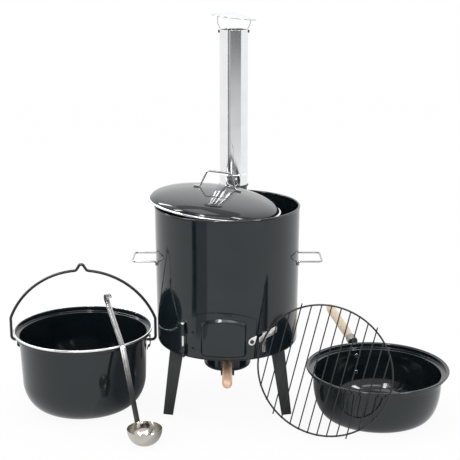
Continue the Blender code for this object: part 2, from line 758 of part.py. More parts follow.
def door_sheet(lift):
    """The pressed door in flat pattern: a lap round an embossed arched panel."""
    middle = (DOOR_LEFT_AZ + DOOR_RIGHT_AZ) / 2
    def along(azimuth):
        return radians(azimuth - middle) * DRUM_FOOT_R
    left, right = along(DOOR_LEFT_AZ), along(DOOR_RIGHT_AZ)
    panel_left, panel_right = along(PANEL_LEFT_AZ), along(PANEL_RIGHT_AZ)
    edge = arch_outline(left, right, DOOR_BOTTOM_Z, DOOR_SHOULDER_Z, DOOR_CROWN_Z)
    foot = arch_outline(panel_left, panel_right, PANEL_BOTTOM_Z, PANEL_SHOULDER_Z, PANEL_CROWN_Z)
    top = arch_outline(panel_left + PANEL_SLOPE, panel_right - PANEL_SLOPE, PANEL_BOTTOM_Z + PANEL_SLOPE / 2,
                       PANEL_SHOULDER_Z - PANEL_SLOPE, PANEL_CROWN_Z - PANEL_SLOPE)
    outlines = [(edge, lift), (foot, lift), (top, lift + PANEL_RISE)]
    bm = bmesh.new()
    loops = []
    for outline, height in outlines:
        verts = [bm.verts.new((x, height, z)) for x, z in outline]
        loops.append([bm.edges.new(pair) for pair in zip(verts, verts[1:] + verts[:1])])
    bm.faces.new(verts)
    bmesh.ops.bridge_loops(bm, edges=loops[0] + loops[1])
    bmesh.ops.bridge_loops(bm, edges=loops[1] + loops[2])
    bmesh.ops.recalc_face_normals(bm, faces=bm.faces)
    slice_along_x(bm, left, right, 16)
    wrap_on_drum(bm, middle)
    return bm


def hinge_leaf(start_azimuth, start_r, curl, z):
    """A strip that lies on the wall, then curls round the pin; curl is 1 to come from the left."""
    eye_r = PIN_R + GAP + LEAF_SHEET / 2
    centre = around(HINGE_AZ, hinge_radius())
    steps = 3
    inward = -around(HINGE_AZ, 1.0).to_2d()
    along = around(HINGE_AZ + 90, 1.0).to_2d() * curl
    pad_end = HINGE_AZ - curl * degrees((eye_r + LEAF_SHEET) / hinge_radius())
    path = []
    for step in range(steps + 1):
        azimuth = start_azimuth + (pad_end - start_azimuth) * step / steps
        path.append(around(azimuth, start_r).to_2d())
    for step in range(CURL_STEPS + 1):
        turn = radians(CURL_STEP * step)
        path.append(centre.to_2d() + (inward * cos(turn) + along * sin(turn)) * eye_r)
    bm = strip([(p.x, p.y) for p in path], LEAF_HEIGHT)
    upright = Matrix.Translation((0, 0, z)) @ Matrix.Rotation(radians(-90), 4, "X")
    bmesh.ops.transform(bm, matrix=upright, verts=bm.verts)
    return bm


def make_door(root):
    """The fire door on its vertical pin, with its leaves."""
    hinge = pivot("door_hinge_axis", around(HINGE_AZ, hinge_radius(), PIN_BOTTOM_Z), root)
    door = add_piece("door_panel", to_mesh(door_sheet(GAP + SHEET / 2), "door_panel"), ENAMEL, hinge)
    thicken(door, SHEET)
    for number, z in enumerate(BODY_LEAF_Z, 1):
        pad = widest_wall(z - LEAF_HEIGHT, z + LEAF_HEIGHT) + GAP + LEAF_SHEET / 2
        name = f"hinge_leaf_body_{number}"
        leaf = hinge_leaf(HINGE_AZ - LEAF_LENGTH_AZ, pad, 1, z)
        thicken(add_piece(name, to_mesh(leaf, name), BLACK_STEEL, root), LEAF_SHEET)
    for number, z in enumerate(DOOR_LEAF_Z, 1):
        pad = widest_wall(z - LEAF_HEIGHT, z + LEAF_HEIGHT) + GAP + SHEET + GAP + LEAF_SHEET / 2
        name = f"hinge_leaf_door_{number}"
        leaf = hinge_leaf(HINGE_AZ + DOOR_LEAF_LENGTH_AZ, pad, -1, z)
        thicken(add_piece(name, to_mesh(leaf, name), BLACK_STEEL, hinge), LEAF_SHEET)
    top = PIN_BOTTOM_Z + PIN_LENGTH
    profile = [(0, PIN_BOTTOM_Z), (PIN_R, PIN_BOTTOM_Z), (PIN_R, top - PIN_HEAD_H),
               (PIN_HEAD_R, top - PIN_HEAD_H), (PIN_HEAD_R, top - PIN_HEAD_H / 2), (0, top)]
    place = Matrix.Translation(around(HINGE_AZ, hinge_radius()))
    pin = turned(profile, SMALL_SIDES, closed=False)
    add_piece("hinge_pin", to_mesh(pin, "hinge_pin", place), ZINC, root)
    return hinge


def make_latch(hinge):
    """A turn button on the door: an eye with a nose, held by a rivet."""
    door_face = widest_wall(LATCH_Z - LATCH_EYE_R, LATCH_Z + LATCH_EYE_R) + GAP + SHEET
    middle = door_face + LATCH_STANDOFF + LATCH_SHEET / 2
    centre = around(LATCH_AZ, middle, LATCH_Z)
    button = pivot("latch_axis", centre, hinge)
    reach = LATCH_NOSE_REACH - LATCH_NOSE_R
    spread = degrees(acos((LATCH_EYE_R - LATCH_NOSE_R) / reach))
    outline = arc(0, 0, LATCH_EYE_R, spread, 360 - spread, 16)
    outline += arc(reach, 0, LATCH_NOSE_R, -spread, spread, 4)
    lever = prism(outline, -LATCH_SHEET / 2, LATCH_SHEET / 2)
    lift = Matrix.Rotation(radians(-LATCH_REST_ANGLE), 4, "Y")
    place = Matrix.Translation(centre) @ turn_to(LATCH_AZ)
    piece = add_piece("latch_lever", to_mesh(lever, "latch_lever", place @ lift), ZINC, button)
    radial = Matrix.Rotation(radians(90), 4, "X")
    hole = plug(LATCH_HOLE_R, -LATCH_SHEET - CUT, LATCH_SHEET + CUT)
    combine(piece, cutter("latch_hole", hole, button, place @ radial))
    shank = LATCH_HOLE_R - GAP
    head = shank + RIVET_LIP
    front = LATCH_SHEET / 2 + GAP
    back = -LATCH_SHEET / 2 - LATCH_STANDOFF + GAP
    profile = [(0, back), (shank, back), (shank, front), (head, front), (head, front + RIVET_HEAD_H / 2),
               (head / 2, front + RIVET_HEAD_H), (0, front + RIVET_HEAD_H)]
    rivet = turned(profile, SMALL_SIDES, closed=False)
    add_piece("latch_rivet", to_mesh(rivet, "latch_rivet", place @ radial), BLACK_STEEL, hinge)
    return button


def keeper_outline(left, right):
    """The keeper's outline in flat pattern, with the knees of its two sloping edges."""
    rise = tan(radians(KEEPER_SLOPE))
    start, wide, end = KEEPER_WIDTHS
    tail = KEEPER_TAIL_WIDTH / 2
    knee = left + (right - left) * KEEPER_KNEE_SHARE
    def edge(x):
        return KEEPER_LOW_Z + (x - left) * rise
    return [(left, edge(left)), (-tail, edge(-tail)), (-tail, KEEPER_LOW_Z - KEEPER_TAIL),
            (tail, KEEPER_LOW_Z - KEEPER_TAIL), (tail, edge(tail)), (knee, edge(knee)),
            (right, edge(right) + (wide - end) / 2), (right, edge(right) + (wide + end) / 2),
            (knee, edge(knee) + wide), (tail, edge(tail) + wide), (left, edge(left) + start)], edge, knee


def make_keeper(root):
    """The latch's keeper: a sloping plate on the drum whose arm stands off for the latch's nose."""
    left = radians(KEEPER_LEFT_AZ - KEEPER_TAIL_AZ) * DRUM_FOOT_R
    right = radians(KEEPER_RIGHT_AZ - KEEPER_TAIL_AZ) * DRUM_FOOT_R
    outline, edge, knee = keeper_outline(left, right)
    bm = prism(outline, GAP, GAP + KEEPER_SHEET)
    slice_along_x(bm, left, right, 8)
    tail = KEEPER_TAIL_WIDTH / 2
    ramp = (-tail - left) * KEEPER_RAMP_SHARE
    for vert in bm.verts:
        share = min(1, max(0, (-tail - vert.co.x) / ramp))
        vert.co.y += KEEPER_STANDOFF * share
    wrap_on_drum(bm, KEEPER_TAIL_AZ)
    bmesh.ops.recalc_face_normals(bm, faces=bm.faces)
    keeper = add_piece("latch_keeper", to_mesh(bm, "latch_keeper"), ZINC, root)
    wide = KEEPER_WIDTHS[1]
    middle_z = edge(knee) + wide / 2
    apart = wide * KEEPER_RIVET_SHARE
    places = ((knee, middle_z + apart), (knee, middle_z - apart), (0, KEEPER_LOW_Z - KEEPER_TAIL + tail))
    for number, (x, z) in enumerate(places, 1):
        face = wall_radius(z) + GAP
        rivet = plug(KEEPER_RIVET_R, face + KEEPER_SHEET / 2, face + KEEPER_SHEET + RIVET_HEAD_H, 8)
        outward = turn_to(KEEPER_TAIL_AZ + degrees(x / DRUM_FOOT_R)) @ Matrix.Translation((0, 0, z))
        place = outward @ Matrix.Rotation(radians(90), 4, "X")
        combine(keeper, cutter(f"keeper_rivet_{number}", rivet, root, place), "UNION")


def make_flue(root):
    """The elbow that leaves the drum's back wall and turns up, with the collar that the pipe stands on."""
    middle = FLUE_R - FLUE_SHEET / 2
    bm = bmesh.new()
    sideways = Matrix.Rotation(radians(90), 4, "X")
    start = -(wall_radius(FLUE_Z) - FLUE_INSIDE)
    bmesh.ops.create_circle(bm, cap_ends=False, segments=PIPE_SIDES, radius=middle,
                            matrix=Matrix.Translation((0, start, FLUE_Z)) @ sideways)
    bend_y = -(flue_reach() - FLUE_BEND_R)
    ring = bmesh.ops.extrude_edge_only(bm, edges=bm.edges[:])["geom"]
    verts = [g for g in ring if isinstance(g, bmesh.types.BMVert)]
    edges = [g for g in ring if isinstance(g, bmesh.types.BMEdge)]
    bmesh.ops.translate(bm, verts=verts, vec=(0, bend_y - start, 0))
    out = bmesh.ops.spin(bm, geom=verts + edges, cent=(0, bend_y, FLUE_Z + FLUE_BEND_R), axis=(-1, 0, 0),
                         angle=radians(90), steps=5)
    verts = [g for g in out["geom_last"] if isinstance(g, bmesh.types.BMVert)]
    edges = [g for g in out["geom_last"] if isinstance(g, bmesh.types.BMEdge)]
    ring = bmesh.ops.extrude_edge_only(bm, edges=edges)["geom"]
    verts = [g for g in ring if isinstance(g, bmesh.types.BMVert)]
    bmesh.ops.translate(bm, verts=verts, vec=(0, 0, FLUE_TOP_Z - FLUE_Z - FLUE_BEND_R))
    bmesh.ops.remove_doubles(bm, verts=bm.verts, dist=MERGE)
    bmesh.ops.recalc_face_normals(bm, faces=bm.faces)
    elbow = add_piece("flue_elbow", to_mesh(bm, "flue_elbow", turn_to(FLUE_AZ)), BLACK_STEEL, root)
    thicken(elbow, FLUE_SHEET)
    inner = FLUE_R + GAP
    outer = FLUE_R + FLUE_COLLAR_PROUD
    low, high = FLUE_COLLAR_Z - FLUE_COLLAR_H, FLUE_COLLAR_Z
    profile = [(inner, low), (outer, low), (outer, high), (inner, high)]
    place = Matrix.Translation(around(FLUE_AZ, flue_reach())) @ turn_to(FLUE_AZ)
    collar = to_mesh(turned(profile, PIPE_SIDES), "flue_collar", place)
    add_piece("flue_collar", collar, BLACK_STEEL, root)


def make_chimney(root):
    """The stainless pipe over the elbow's spigot, with a cap on two strips."""
    axis = around(FLUE_AZ, flue_reach(), FLUE_COLLAR_Z + GAP)
    chimney = pivot("chimney_axis", axis, root)
    inner = FLUE_R + GAP
    outer = inner + THIN_SHEET
    bead = PIPE_BEAD_H / 2
    profile = [(inner, axis.z), (outer, axis.z), (outer, PIPE_BEAD_Z - bead),
               (outer + PIPE_BEAD_PROUD, PIPE_BEAD_Z), (outer, PIPE_BEAD_Z + bead), (outer, PIPE_TOP_Z),
               (inner, PIPE_TOP_Z)]
    stand = Matrix.Translation((axis.x, axis.y, 0))
    tube = to_mesh(turned(profile, PIPE_SIDES), "chimney_pipe", stand @ turn_to(FLUE_AZ))
    pipe = add_piece("chimney_pipe", tube, STAINLESS, chimney)

    tilt = Matrix.Rotation(radians(CAP_TILT), 4, "Y")
    cap_place = Matrix.Translation((axis.x, axis.y, CAP_EDGE_Z)) @ tilt
    slope = CAP_RISE / CAP_R
    lift = THIN_SHEET * sqrt(1 + slope ** 2)
    profile = [(0, CAP_RISE - lift), (CAP_R, -lift), (CAP_R, -lift - CAP_LIP),
               (CAP_R + THIN_SHEET, -lift - CAP_LIP), (CAP_R + THIN_SHEET, 0), (0, CAP_RISE)]
    cap = turned(profile, PIPE_SIDES, closed=False)
    add_piece("cap", to_mesh(cap, "cap", cap_place), STAINLESS, chimney)

    half = CAP_STRIP_SHEET / 2
    sag = facet_sag(inner, PIPE_SIDES) + inner - sqrt(inner ** 2 - (CAP_STRIP_WIDTH / 2) ** 2)
    inside = inner - sag - GAP - half
    for name, side in (("left", -1), ("right", 1)):
        outside = inside + CAP_STRIP_FLARE
        def under_cap(reach):
            point = cap_place @ Vector((side * reach, 0, CAP_RISE - slope * reach - lift))
            return point.z - GAP - half - slope * CAP_STRIP_WIDTH / 4
        top = under_cap(outside)
        tip = outside - CAP_STRIP_TOP
        path = [(inside, PIPE_TOP_Z - CAP_STRIP_INSIDE), (inside, PIPE_TOP_Z + half),
                (outside, PIPE_TOP_Z + CAP_STRIP_RISE), (outside, top),
                (tip, under_cap(tip) - slope * CAP_STRIP_SHEET)]
        bm = strip([(side * x, z) for x, z in path], CAP_STRIP_WIDTH)
        piece = add_piece(f"cap_strip_{name}", to_mesh(bm, f"cap_strip_{name}", stand), STAINLESS, chimney)
        thicken(piece, CAP_STRIP_SHEET)
        sideways = Matrix.Rotation(radians(90 * side), 4, "Y")
        outward = Matrix.Translation((axis.x, axis.y, CAP_SCREW_Z)) @ sideways
        start = inside - half - CAP_SCREW_HEAD_H
        bore = plug(CAP_SCREW_R + GAP, start - CUT, outer + CUT)
        combine(piece, cutter(f"strip_hole_{name}", bore.copy(), chimney, outward))
        combine(pipe, cutter(f"pipe_hole_{name}", bore, chimney, outward))
        head = outer + GAP
        profile = [(0, start), (CAP_SCREW_R, start), (CAP_SCREW_R, head), (CAP_SCREW_HEAD_R, head),
                   (CAP_SCREW_HEAD_R, head + CAP_SCREW_HEAD_H / 2), (0, head + CAP_SCREW_HEAD_H)]
        screw = turned(profile, SMALL_SIDES, closed=False)
        add_piece(f"cap_screw_{name}", to_mesh(screw, f"cap_screw_{name}", outward), BLACK_STEEL, chimney)
    return chimney


def grip_profile(radius, length):
    """A turned wooden grip from its ferrule end (height 0) to its round tip."""
    swell_r, swell_z = GRIP_SWELL_SHARES
    full_start, full_end = GRIP_FULL_SHARES
    tip = length * GRIP_TIP_SHARE
    profile = [(0, 0), (radius * GRIP_NECK_SHARE, 0), (radius * swell_r, length * swell_z),
               (radius, length * full_start), (radius, length * full_end)]
    for step in range(1, GRIP_TIP_STEPS):
        angle = radians(90 * step / GRIP_TIP_STEPS)
        profile.append((radius * cos(angle), length - tip + tip * sin(angle)))
    return profile + [(0, length)]


def make_ash_bowl(root):
    """The ash bowl under the floor, hung by its rim on two rails, with a wooden grip to the front."""
    top = DRUM_FOOT_Z - ASH_TOP_DROP
    slide = pivot("ash_bowl_axis", (0, 0, top), root)
    base = top - ASH_BOWL_DEPTH
    flat = ASH_BOWL_R - ASH_BOWL_CORNER
    outer = bowl_corner(flat, ASH_BOWL_R, ASH_BOWL_CORNER, 4)
    inner = bowl_corner(flat, ASH_BOWL_R - SHEET, ASH_BOWL_CORNER - SHEET, 4)
    rim = ASH_BOWL_R + ASH_RIM
    profile = [(0, base)] + [(r, base + z) for r, z in outer]
    profile += [(ASH_BOWL_R, top - SHEET), (rim, top - SHEET), (rim, top), (ASH_BOWL_R - SHEET, top)]
    profile += [(r, base + SHEET + z) for r, z in inner[::-1]] + [(0, base + SHEET)]
    bowl = turned(profile, PIPE_SIDES, closed=False)
    add_piece("ash_bowl", to_mesh(bowl, "ash_bowl"), ENAMEL, slide)

    web = rim + GAP + RAIL_SHEET / 2
    low = top - SHEET - GAP - RAIL_SHEET / 2
    high = DRUM_FOOT_Z - GAP - RAIL_SHEET / 2
    for name, side in (("left", -1), ("right", 1)):
        path = [(side * (web - RAIL_LIP), low), (side * web, low), (side * web, high),
                (side * (web + RAIL_LIP), high)]
        sheet = to_mesh(strip(path, RAIL_LENGTH), f"ash_rail_{name}")
        rail = add_piece(f"ash_rail_{name}", sheet, BLACK_STEEL, root)
        thicken(rail, RAIL_SHEET)

    forward = Matrix.Translation((0, 0, ASH_GRIP_Z)) @ Matrix.Rotation(radians(90), 4, "X")
    wall = ASH_BOWL_R + GAP
    seat = wall + ASH_FERRULE_LENGTH / 2
    mouth = wall + ASH_FERRULE_LENGTH
    bore = ASH_FERRULE_R * ASH_BORE_SHARE
    profile = [(0, wall), (ASH_FERRULE_R, wall), (ASH_FERRULE_R, mouth), (bore, mouth), (bore, seat),
               (0, seat)]
    ferrule = turned(profile, SMALL_SIDES, closed=False)
    add_piece("ash_ferrule", to_mesh(ferrule, "ash_ferrule", forward), BLACK_STEEL, slide)
    grip = [(r, mouth + GAP + z) for r, z in grip_profile(ASH_GRIP_R, ASH_GRIP_LENGTH)]
    spigot = bore - GAP
    grip = [(0, seat + GAP), (spigot, seat + GAP), (spigot, mouth + GAP)] + grip[1:]
    grip_solid = turned(grip, SMALL_SIDES, closed=False)
    add_piece("ash_grip", to_mesh(grip_solid, "ash_grip", forward), BEECH, slide)
    return slide


def lid_height():
    """Height of the lid's middle, its ring resting where it crosses the drum's rolled rim."""
    bead_r = DRUM_TOP_R - RIM_BEAD_R + RIM_BEAD_PROUD
    apart = hypot(*LID_PLACE)
    crossing = (apart ** 2 + bead_r ** 2 - LID_R ** 2) / (2 * apart)
    fall = (crossing - apart) * tan(radians(LID_TILT))
    return DRUM_FOOT_Z + DRUM_HEIGHT + LID_TRIM_R + POT_SHEET / 2 + LID_SEAT_GAP - fall


def make_lid(root):
    """The lid: a dome with a groove and a flange, a trim ring and a wire handle, lying askew on the drum."""
    middle = (*LID_PLACE, lid_height())
    carrier = pivot("lid_axis", middle, root)
    place = Matrix.Translation(middle) @ Matrix.Rotation(radians(LID_TILT), 4, "Y")
    flange_r = LID_R - LID_TRIM_R
    groove_out = LID_R - LID_FLANGE
    groove_in = groove_out - LID_GROOVE_WIDTH
    dome_r = groove_in - LID_GROOVE_WIDTH / 2
    sphere = (dome_r ** 2 + LID_RISE ** 2) / (2 * LID_RISE)
    spread = degrees(asin(dome_r / sphere))
    dome = arc(0, LID_RISE - sphere, sphere, 90 - spread, 90, 5)
    groove_wall = groove_out - LID_GROOVE_WIDTH / 4
    top = [(flange_r, 0), (groove_out, 0), (groove_wall, -LID_GROOVE), (groove_in, -LID_GROOVE)] + dome
    bottom = [(r, z - POT_SHEET) for r, z in top]
    profile = bottom[::-1] + top
    lid = turned(profile, ROUND_SIDES, closed=False)
    add_piece("lid_dome", to_mesh(lid, "lid_dome", place), ENAMEL, carrier)

    high = LID_TRIM_R - POT_SHEET / 2
    low = -LID_TRIM_R - POT_SHEET / 2
    inner = LID_R - LID_TRIM_R * 2
    slot_high, slot_low = GAP, -POT_SHEET - GAP
    corner = LID_R - LID_TRIM_R / 2
    slot_r = flange_r + GAP
    profile = [(inner, high), (corner, high), (LID_R, -POT_SHEET / 2), (corner, low), (inner, low),
               (inner, slot_low), (slot_r, slot_low), (slot_r, slot_high), (inner, slot_high)]
    trim = turned(profile, ROUND_SIDES)
    add_piece("lid_trim", to_mesh(trim, "lid_trim", place), STAINLESS, carrier)

    def on_dome(x):
        return sqrt(sphere ** 2 - x ** 2) + LID_RISE - sphere + LID_HANDLE_WIRE_R + GAP
    foot_out = LID_HANDLE_FOOT_SPAN / 2
    foot_in = foot_out - LID_HANDLE_FOOT
    top_x = LID_HANDLE_TOP_SPAN / 2
    top_z = on_dome(foot_in) + LID_HANDLE_RISE
    spots = [LID_HANDLE_SHIFT + side for side in (-foot_out, -foot_in, foot_in, foot_out)]
    feet = [(x, 0, on_dome(x)) for x in spots]
    bar = [(LID_HANDLE_SHIFT - top_x, 0, top_z), (LID_HANDLE_SHIFT + top_x, 0, top_z)]
    loop = feet[:2] + bar + feet[2:]
    path = [place @ point for point in rounded(loop, LID_HANDLE_BEND_R)]
    wire("lid_handle", path, LID_HANDLE_WIRE_R, STAINLESS, carrier)


def pot_profile(flat, radius, corner_h, height, rim_r, steps):
    """Outer side of a pot from its base to the end of its flange: corner, wall, ledge, lip."""
    outer = bowl_corner(flat, radius, corner_h, steps)
    lip = height - POT_SHEET
    return outer + [(radius, height - LEDGE_DEPTH - POT_SHEET), (LEDGE_R + POT_SHEET, height - LEDGE_DEPTH),
                    (LEDGE_R + POT_SHEET, lip), (rim_r, lip)]


def pot_inside(flat, radius, corner_h, height, rim_r, steps):
    """Inner side of the same pot, from the flange back to the base."""
    corner = bowl_corner(flat, radius - POT_SHEET, corner_h - POT_SHEET, steps)
    wall = [(rim_r, height), (LEDGE_R, height), (LEDGE_R, height - LEDGE_DEPTH + POT_SHEET),
            (radius - POT_SHEET, height - LEDGE_DEPTH)]
    return wall + [(r, z + POT_SHEET) for r, z in corner[::-1]]


def make_cauldron(root):
    """The cauldron with its trim ring and two ears."""
    x, y = pot_place()
    carrier = pivot("cauldron_axis", (x, y, 0), root)
    stand = Matrix.Translation((x, y, 0))
    sizes = (POT_R - POT_CORNER_RUN, POT_R, POT_CORNER_H, POT_HEIGHT, POT_RIM_R, POT_STEPS)
    profile = [(0, 0)] + pot_profile(*sizes) + pot_inside(*sizes) + [(0, POT_SHEET)]
    pot = turned(profile, ROUND_SIDES, closed=False)
    add_piece("cauldron_pot", to_mesh(pot, "cauldron_pot", stand), ENAMEL, carrier)

    middle = POT_HEIGHT - POT_SHEET / 2
    low, high = middle - TRIM_HALF_H, middle + TRIM_HALF_H
    slot_r = POT_RIM_R + GAP
    slot_low, slot_high = POT_HEIGHT - POT_SHEET - GAP, POT_HEIGHT + GAP
    corner = TRIM_HALF_H / 2
    inner = LEDGE_R + POT_SHEET + GAP
    profile = [(inner, high), (TRIM_R - corner, high), (TRIM_R, middle), (TRIM_R - corner, low),
               (inner, low), (inner, slot_low), (slot_r, slot_low), (slot_r, slot_high), (inner, slot_high)]
    trim = turned(profile, ROUND_SIDES)
    add_piece("cauldron_trim", to_mesh(trim, "cauldron_trim", stand), STAINLESS, carrier)

    ear_z = POT_HEIGHT - EAR_DROP
    half = EAR_SHEET / 2
    wall = POT_R + GAP + half
    bridge = wall + EAR_STANDOFF
    low, high = ear_z - EAR_HALF_BRIDGE, ear_z + EAR_HALF_BRIDGE
    under_ledge = POT_HEIGHT - LEDGE_DEPTH - EAR_SHEET - EAR_SHEET
    path = [(wall, low - EAR_FOOT), (wall, low), (bridge, low + EAR_SHEET), (bridge, high - EAR_SHEET),
            (wall, high), (wall, under_ledge)]
    for name, side in (("left", -1), ("right", 1)):
        ear = strip([(side * r, z) for r, z in path], EAR_WIDTH)
        sheet = to_mesh(ear, f"cauldron_ear_{name}", stand)
        piece = add_piece(f"cauldron_ear_{name}", sheet, BLACK_STEEL, carrier)
        thicken(piece, EAR_SHEET)
        bore = plug(BAIL_WIRE_R + BAIL_RUNNING_GAP, bridge - CUT, bridge + CUT)
        outward = Matrix.Translation((x, y, ear_z)) @ Matrix.Rotation(radians(90 * side), 4, "Y")
        combine(piece, cutter(f"ear_hole_{name}", bore, carrier, outward))
    make_bail(carrier, x, y, ear_z, bridge - EAR_STANDOFF + half + GAP)
    return carrier


def make_bail(carrier, x, y, ear_z, pin_end):
    """The bail: a bent wire from ear to ear, with upright sides, a round crown and a notch to hang it by."""
    hinge = pivot("bail_axis", (x, y, ear_z), carrier)
    rise = BAIL_CROWN_H - BAIL_SHOULDER_H
    radius = (BAIL_HALF_SPAN ** 2 + rise ** 2) / (2 * rise)
    centre_h = BAIL_CROWN_H - radius
    notch_angle = degrees(asin(BAIL_NOTCH_HALF / radius))
    side_angle = degrees(asin(BAIL_HALF_SPAN / radius))
    path = [(pin_end, 0), (BAIL_HALF_SPAN - BAIL_BEND_R, 0)]
    path += arc(BAIL_HALF_SPAN - BAIL_BEND_R, BAIL_BEND_R, BAIL_BEND_R, -90, 0, 4)[1:]
    path += arc(0, centre_h, radius, 90 - side_angle, 90 - notch_angle, BAIL_STEPS)
    path.append((BAIL_NOTCH_HALF / 4, BAIL_NOTCH_H))
    points = [Vector((x + r, y, ear_z + h)) for r, h in path]
    points += [Vector((x - r, y, ear_z + h)) for r, h in path[::-1]]
    wire("bail", points, BAIL_WIRE_R, BLACK_STEEL, hinge)
    return hinge


def make_pan(root):
    """The deep pan with its socket, wooden grip and two rivets."""
    x, y = pan_place()
    carrier = pivot("pan_axis", (x, y, 0), root)
    stand = Matrix.Translation((x, y, 0))
    bead_z = PAN_HEIGHT - PAN_BEAD_R
    sizes = (PAN_R - PAN_CORNER_RUN, PAN_R, PAN_CORNER_H, bead_z + POT_SHEET / 2, PAN_RIM_R - PAN_BEAD_R,
             PAN_STEPS)
    outer = pot_profile(*sizes)
    inside = pot_inside(*sizes)
    bite = degrees(asin(POT_SHEET / 2 / PAN_BEAD_R))
    bead = arc(PAN_RIM_R - PAN_BEAD_R, bead_z, PAN_BEAD_R, -180 + bite, 180 - bite, 5)
    profile = [(0, 0)] + outer[:-1] + bead + inside[1:] + [(0, POT_SHEET)]
    bowl = turned(profile, PAN_SIDES, closed=False)
    pan = add_piece("pan_bowl", to_mesh(bowl, "pan_bowl", stand), ENAMEL, carrier)

    turn = stand @ turn_to(PAN_HANDLE_AZ) @ Matrix.Rotation(radians(-90), 4, "Z")
    lift = GAP + PAN_PLATE_SHEET / 2
    path = lap_path(outer[:PAN_STEPS + 1], PAN_LAP_START, lift)
    wall = PAN_R + lift
    socket = Vector((PAN_RIM_R + PAN_SOCKET_CLEAR, 0, PAN_HEIGHT))
    knee_z = PAN_HEIGHT - PAN_SOCKET_R - PAN_PLATE_SHEET
    lap_end = knee_z + PAN_PLATE_SHEET + PAN_PLATE_SHEET
    bend = rounded([(wall, 0, path[-1][1]), (wall, 0, knee_z - PAN_KNEE), (socket.x, 0, knee_z),
                    (socket.x + PAN_SOCKET_LENGTH / 2, 0, lap_end)], PAN_KNEE)
    path += [(point.x, point.z) for point in bend[1:]]
    bracket = to_mesh(strip(path, PAN_PLATE_WIDTH), "pan_socket", turn)
    socket_piece = add_piece("pan_socket", bracket, STAINLESS, carrier)
    thicken(socket_piece, PAN_PLATE_SHEET)
    outward = turn @ Matrix.Translation(socket) @ Matrix.Rotation(radians(90 - PAN_GRIP_TILT), 4, "Y")
    spigot = PAN_SOCKET_R - PAN_PLATE_SHEET
    mouth = PAN_SOCKET_LENGTH
    seat = mouth - PAN_SOCKET_LENGTH * PAN_BORE_SHARE
    profile = [(0, 0), (spigot, 0), (PAN_SOCKET_R, PAN_PLATE_SHEET), (PAN_SOCKET_R, mouth), (spigot, mouth),
               (spigot, seat), (0, seat)]
    cup = turned(profile, SMALL_SIDES, closed=False)
    combine(socket_piece, cutter("socket_cup", cup, carrier, outward), "UNION")
    grip = [(r, mouth + GAP + z) for r, z in grip_profile(PAN_GRIP_R, PAN_GRIP_LENGTH)]
    grip = [(0, seat + GAP), (spigot - GAP, seat + GAP), (spigot - GAP, mouth + GAP)] + grip[1:]
    grip_solid = turned(grip, SMALL_SIDES, closed=False)
    add_piece("pan_grip", to_mesh(grip_solid, "pan_grip", outward), BEECH, carrier)

    upper = (Vector((PAN_R, knee_z - PAN_KNEE - PAN_RIVET_HEAD_R)), Vector((1, 0)))
    for number, (point, normal) in enumerate((stretch_seat(outer, PAN_LAP_START), upper), 1):
        tilt = Matrix.Rotation(atan2(normal.x, normal.y), 4, "Y")
        seat = turn @ Matrix.Translation((point.x, 0, point.y)) @ tilt
        inside = -POT_SHEET - GAP - GAP - facet_sag(PAN_R, PAN_SIDES)
        outside = GAP + PAN_PLATE_SHEET
        hole = plug(PAN_RIVET_R + GAP, inside - CUT, outside + CUT)
        combine(pan, cutter(f"pan_rivet_hole_{number}", hole.copy(), carrier, seat))
        combine(socket_piece, cutter(f"socket_rivet_hole_{number}", hole, carrier, seat))
        end = outside + PAN_RIVET_HEAD_H / 2
        head = inside - PAN_RIVET_HEAD_H
        profile = [(0, head), (PAN_RIVET_HEAD_R / 2, head), (PAN_RIVET_HEAD_R, inside - PAN_RIVET_HEAD_H / 2),
                   (PAN_RIVET_HEAD_R, inside), (PAN_RIVET_R, inside), (PAN_RIVET_R, end), (0, end)]
        rivet = turned(profile, SMALL_SIDES, closed=False)
        add_piece(f"pan_rivet_{number}", to_mesh(rivet, f"pan_rivet_{number}", seat), STAINLESS, carrier)
    return carrier


def grate_frame():
    """Place of the grill grate: standing on the ground and leaning on the rim of the pan."""
    yaw, lean = radians(GRATE_YAW), radians(GRATE_LEAN)
    forward = Vector((sin(yaw), -cos(yaw), 0))
    along = Vector((cos(yaw), sin(yaw), 0))
    height = (GRATE_R + GRATE_WIRE_R) * cos(lean) + GRATE_WIRE_R * sin(lean)
    rim_z = PAN_HEIGHT - PAN_BEAD_R
    between_bars = GRATE_PITCH ** 2 / (8 * PAN_RIM_R)
    rim_r = PAN_RIM_R - facet_sag(PAN_RIM_R, PAN_SIDES) - between_bars
    distance = (rim_r + GAP + GRATE_BAR_R - GRATE_WIRE_R) / cos(lean) - (height - rim_z) * tan(lean)
    middle = Vector((*pan_place(), 0)) + forward * distance - along * GRATE_ALONG
    middle.z = height
    face = forward * cos(lean) + Vector((0, 0, sin(lean)))
    up = face.cross(along)
    frame = Matrix((along, up, face)).transposed().to_4x4()
    return Matrix.Translation(middle) @ frame


def tube_mesh(paths, radius, level, cyclic=False):
    """Round wires along paths, as one mesh."""
    curve = bpy.data.curves.new("wires", "CURVE")
    curve.dimensions = "3D"
    for path in paths:
        spline = curve.splines.new("POLY")
        spline.points.add(len(path) - 1)
        for point, place in zip(spline.points, path):
            point.co = (*place, 1.0)
        spline.use_cyclic_u = cyclic
    curve.bevel_depth = radius
    curve.bevel_resolution = level
    curve.use_fill_caps = not cyclic
    holder = bpy.data.objects.new("wires", curve)
    mesh = bpy.data.meshes.new_from_object(holder)
    bpy.data.objects.remove(holder)
    bm = bmesh.new()
    bm.from_mesh(mesh)
    bmesh.ops.remove_doubles(bm, verts=bm.verts, dist=MERGE)
    bmesh.ops.recalc_face_normals(bm, faces=bm.faces)
    return bm


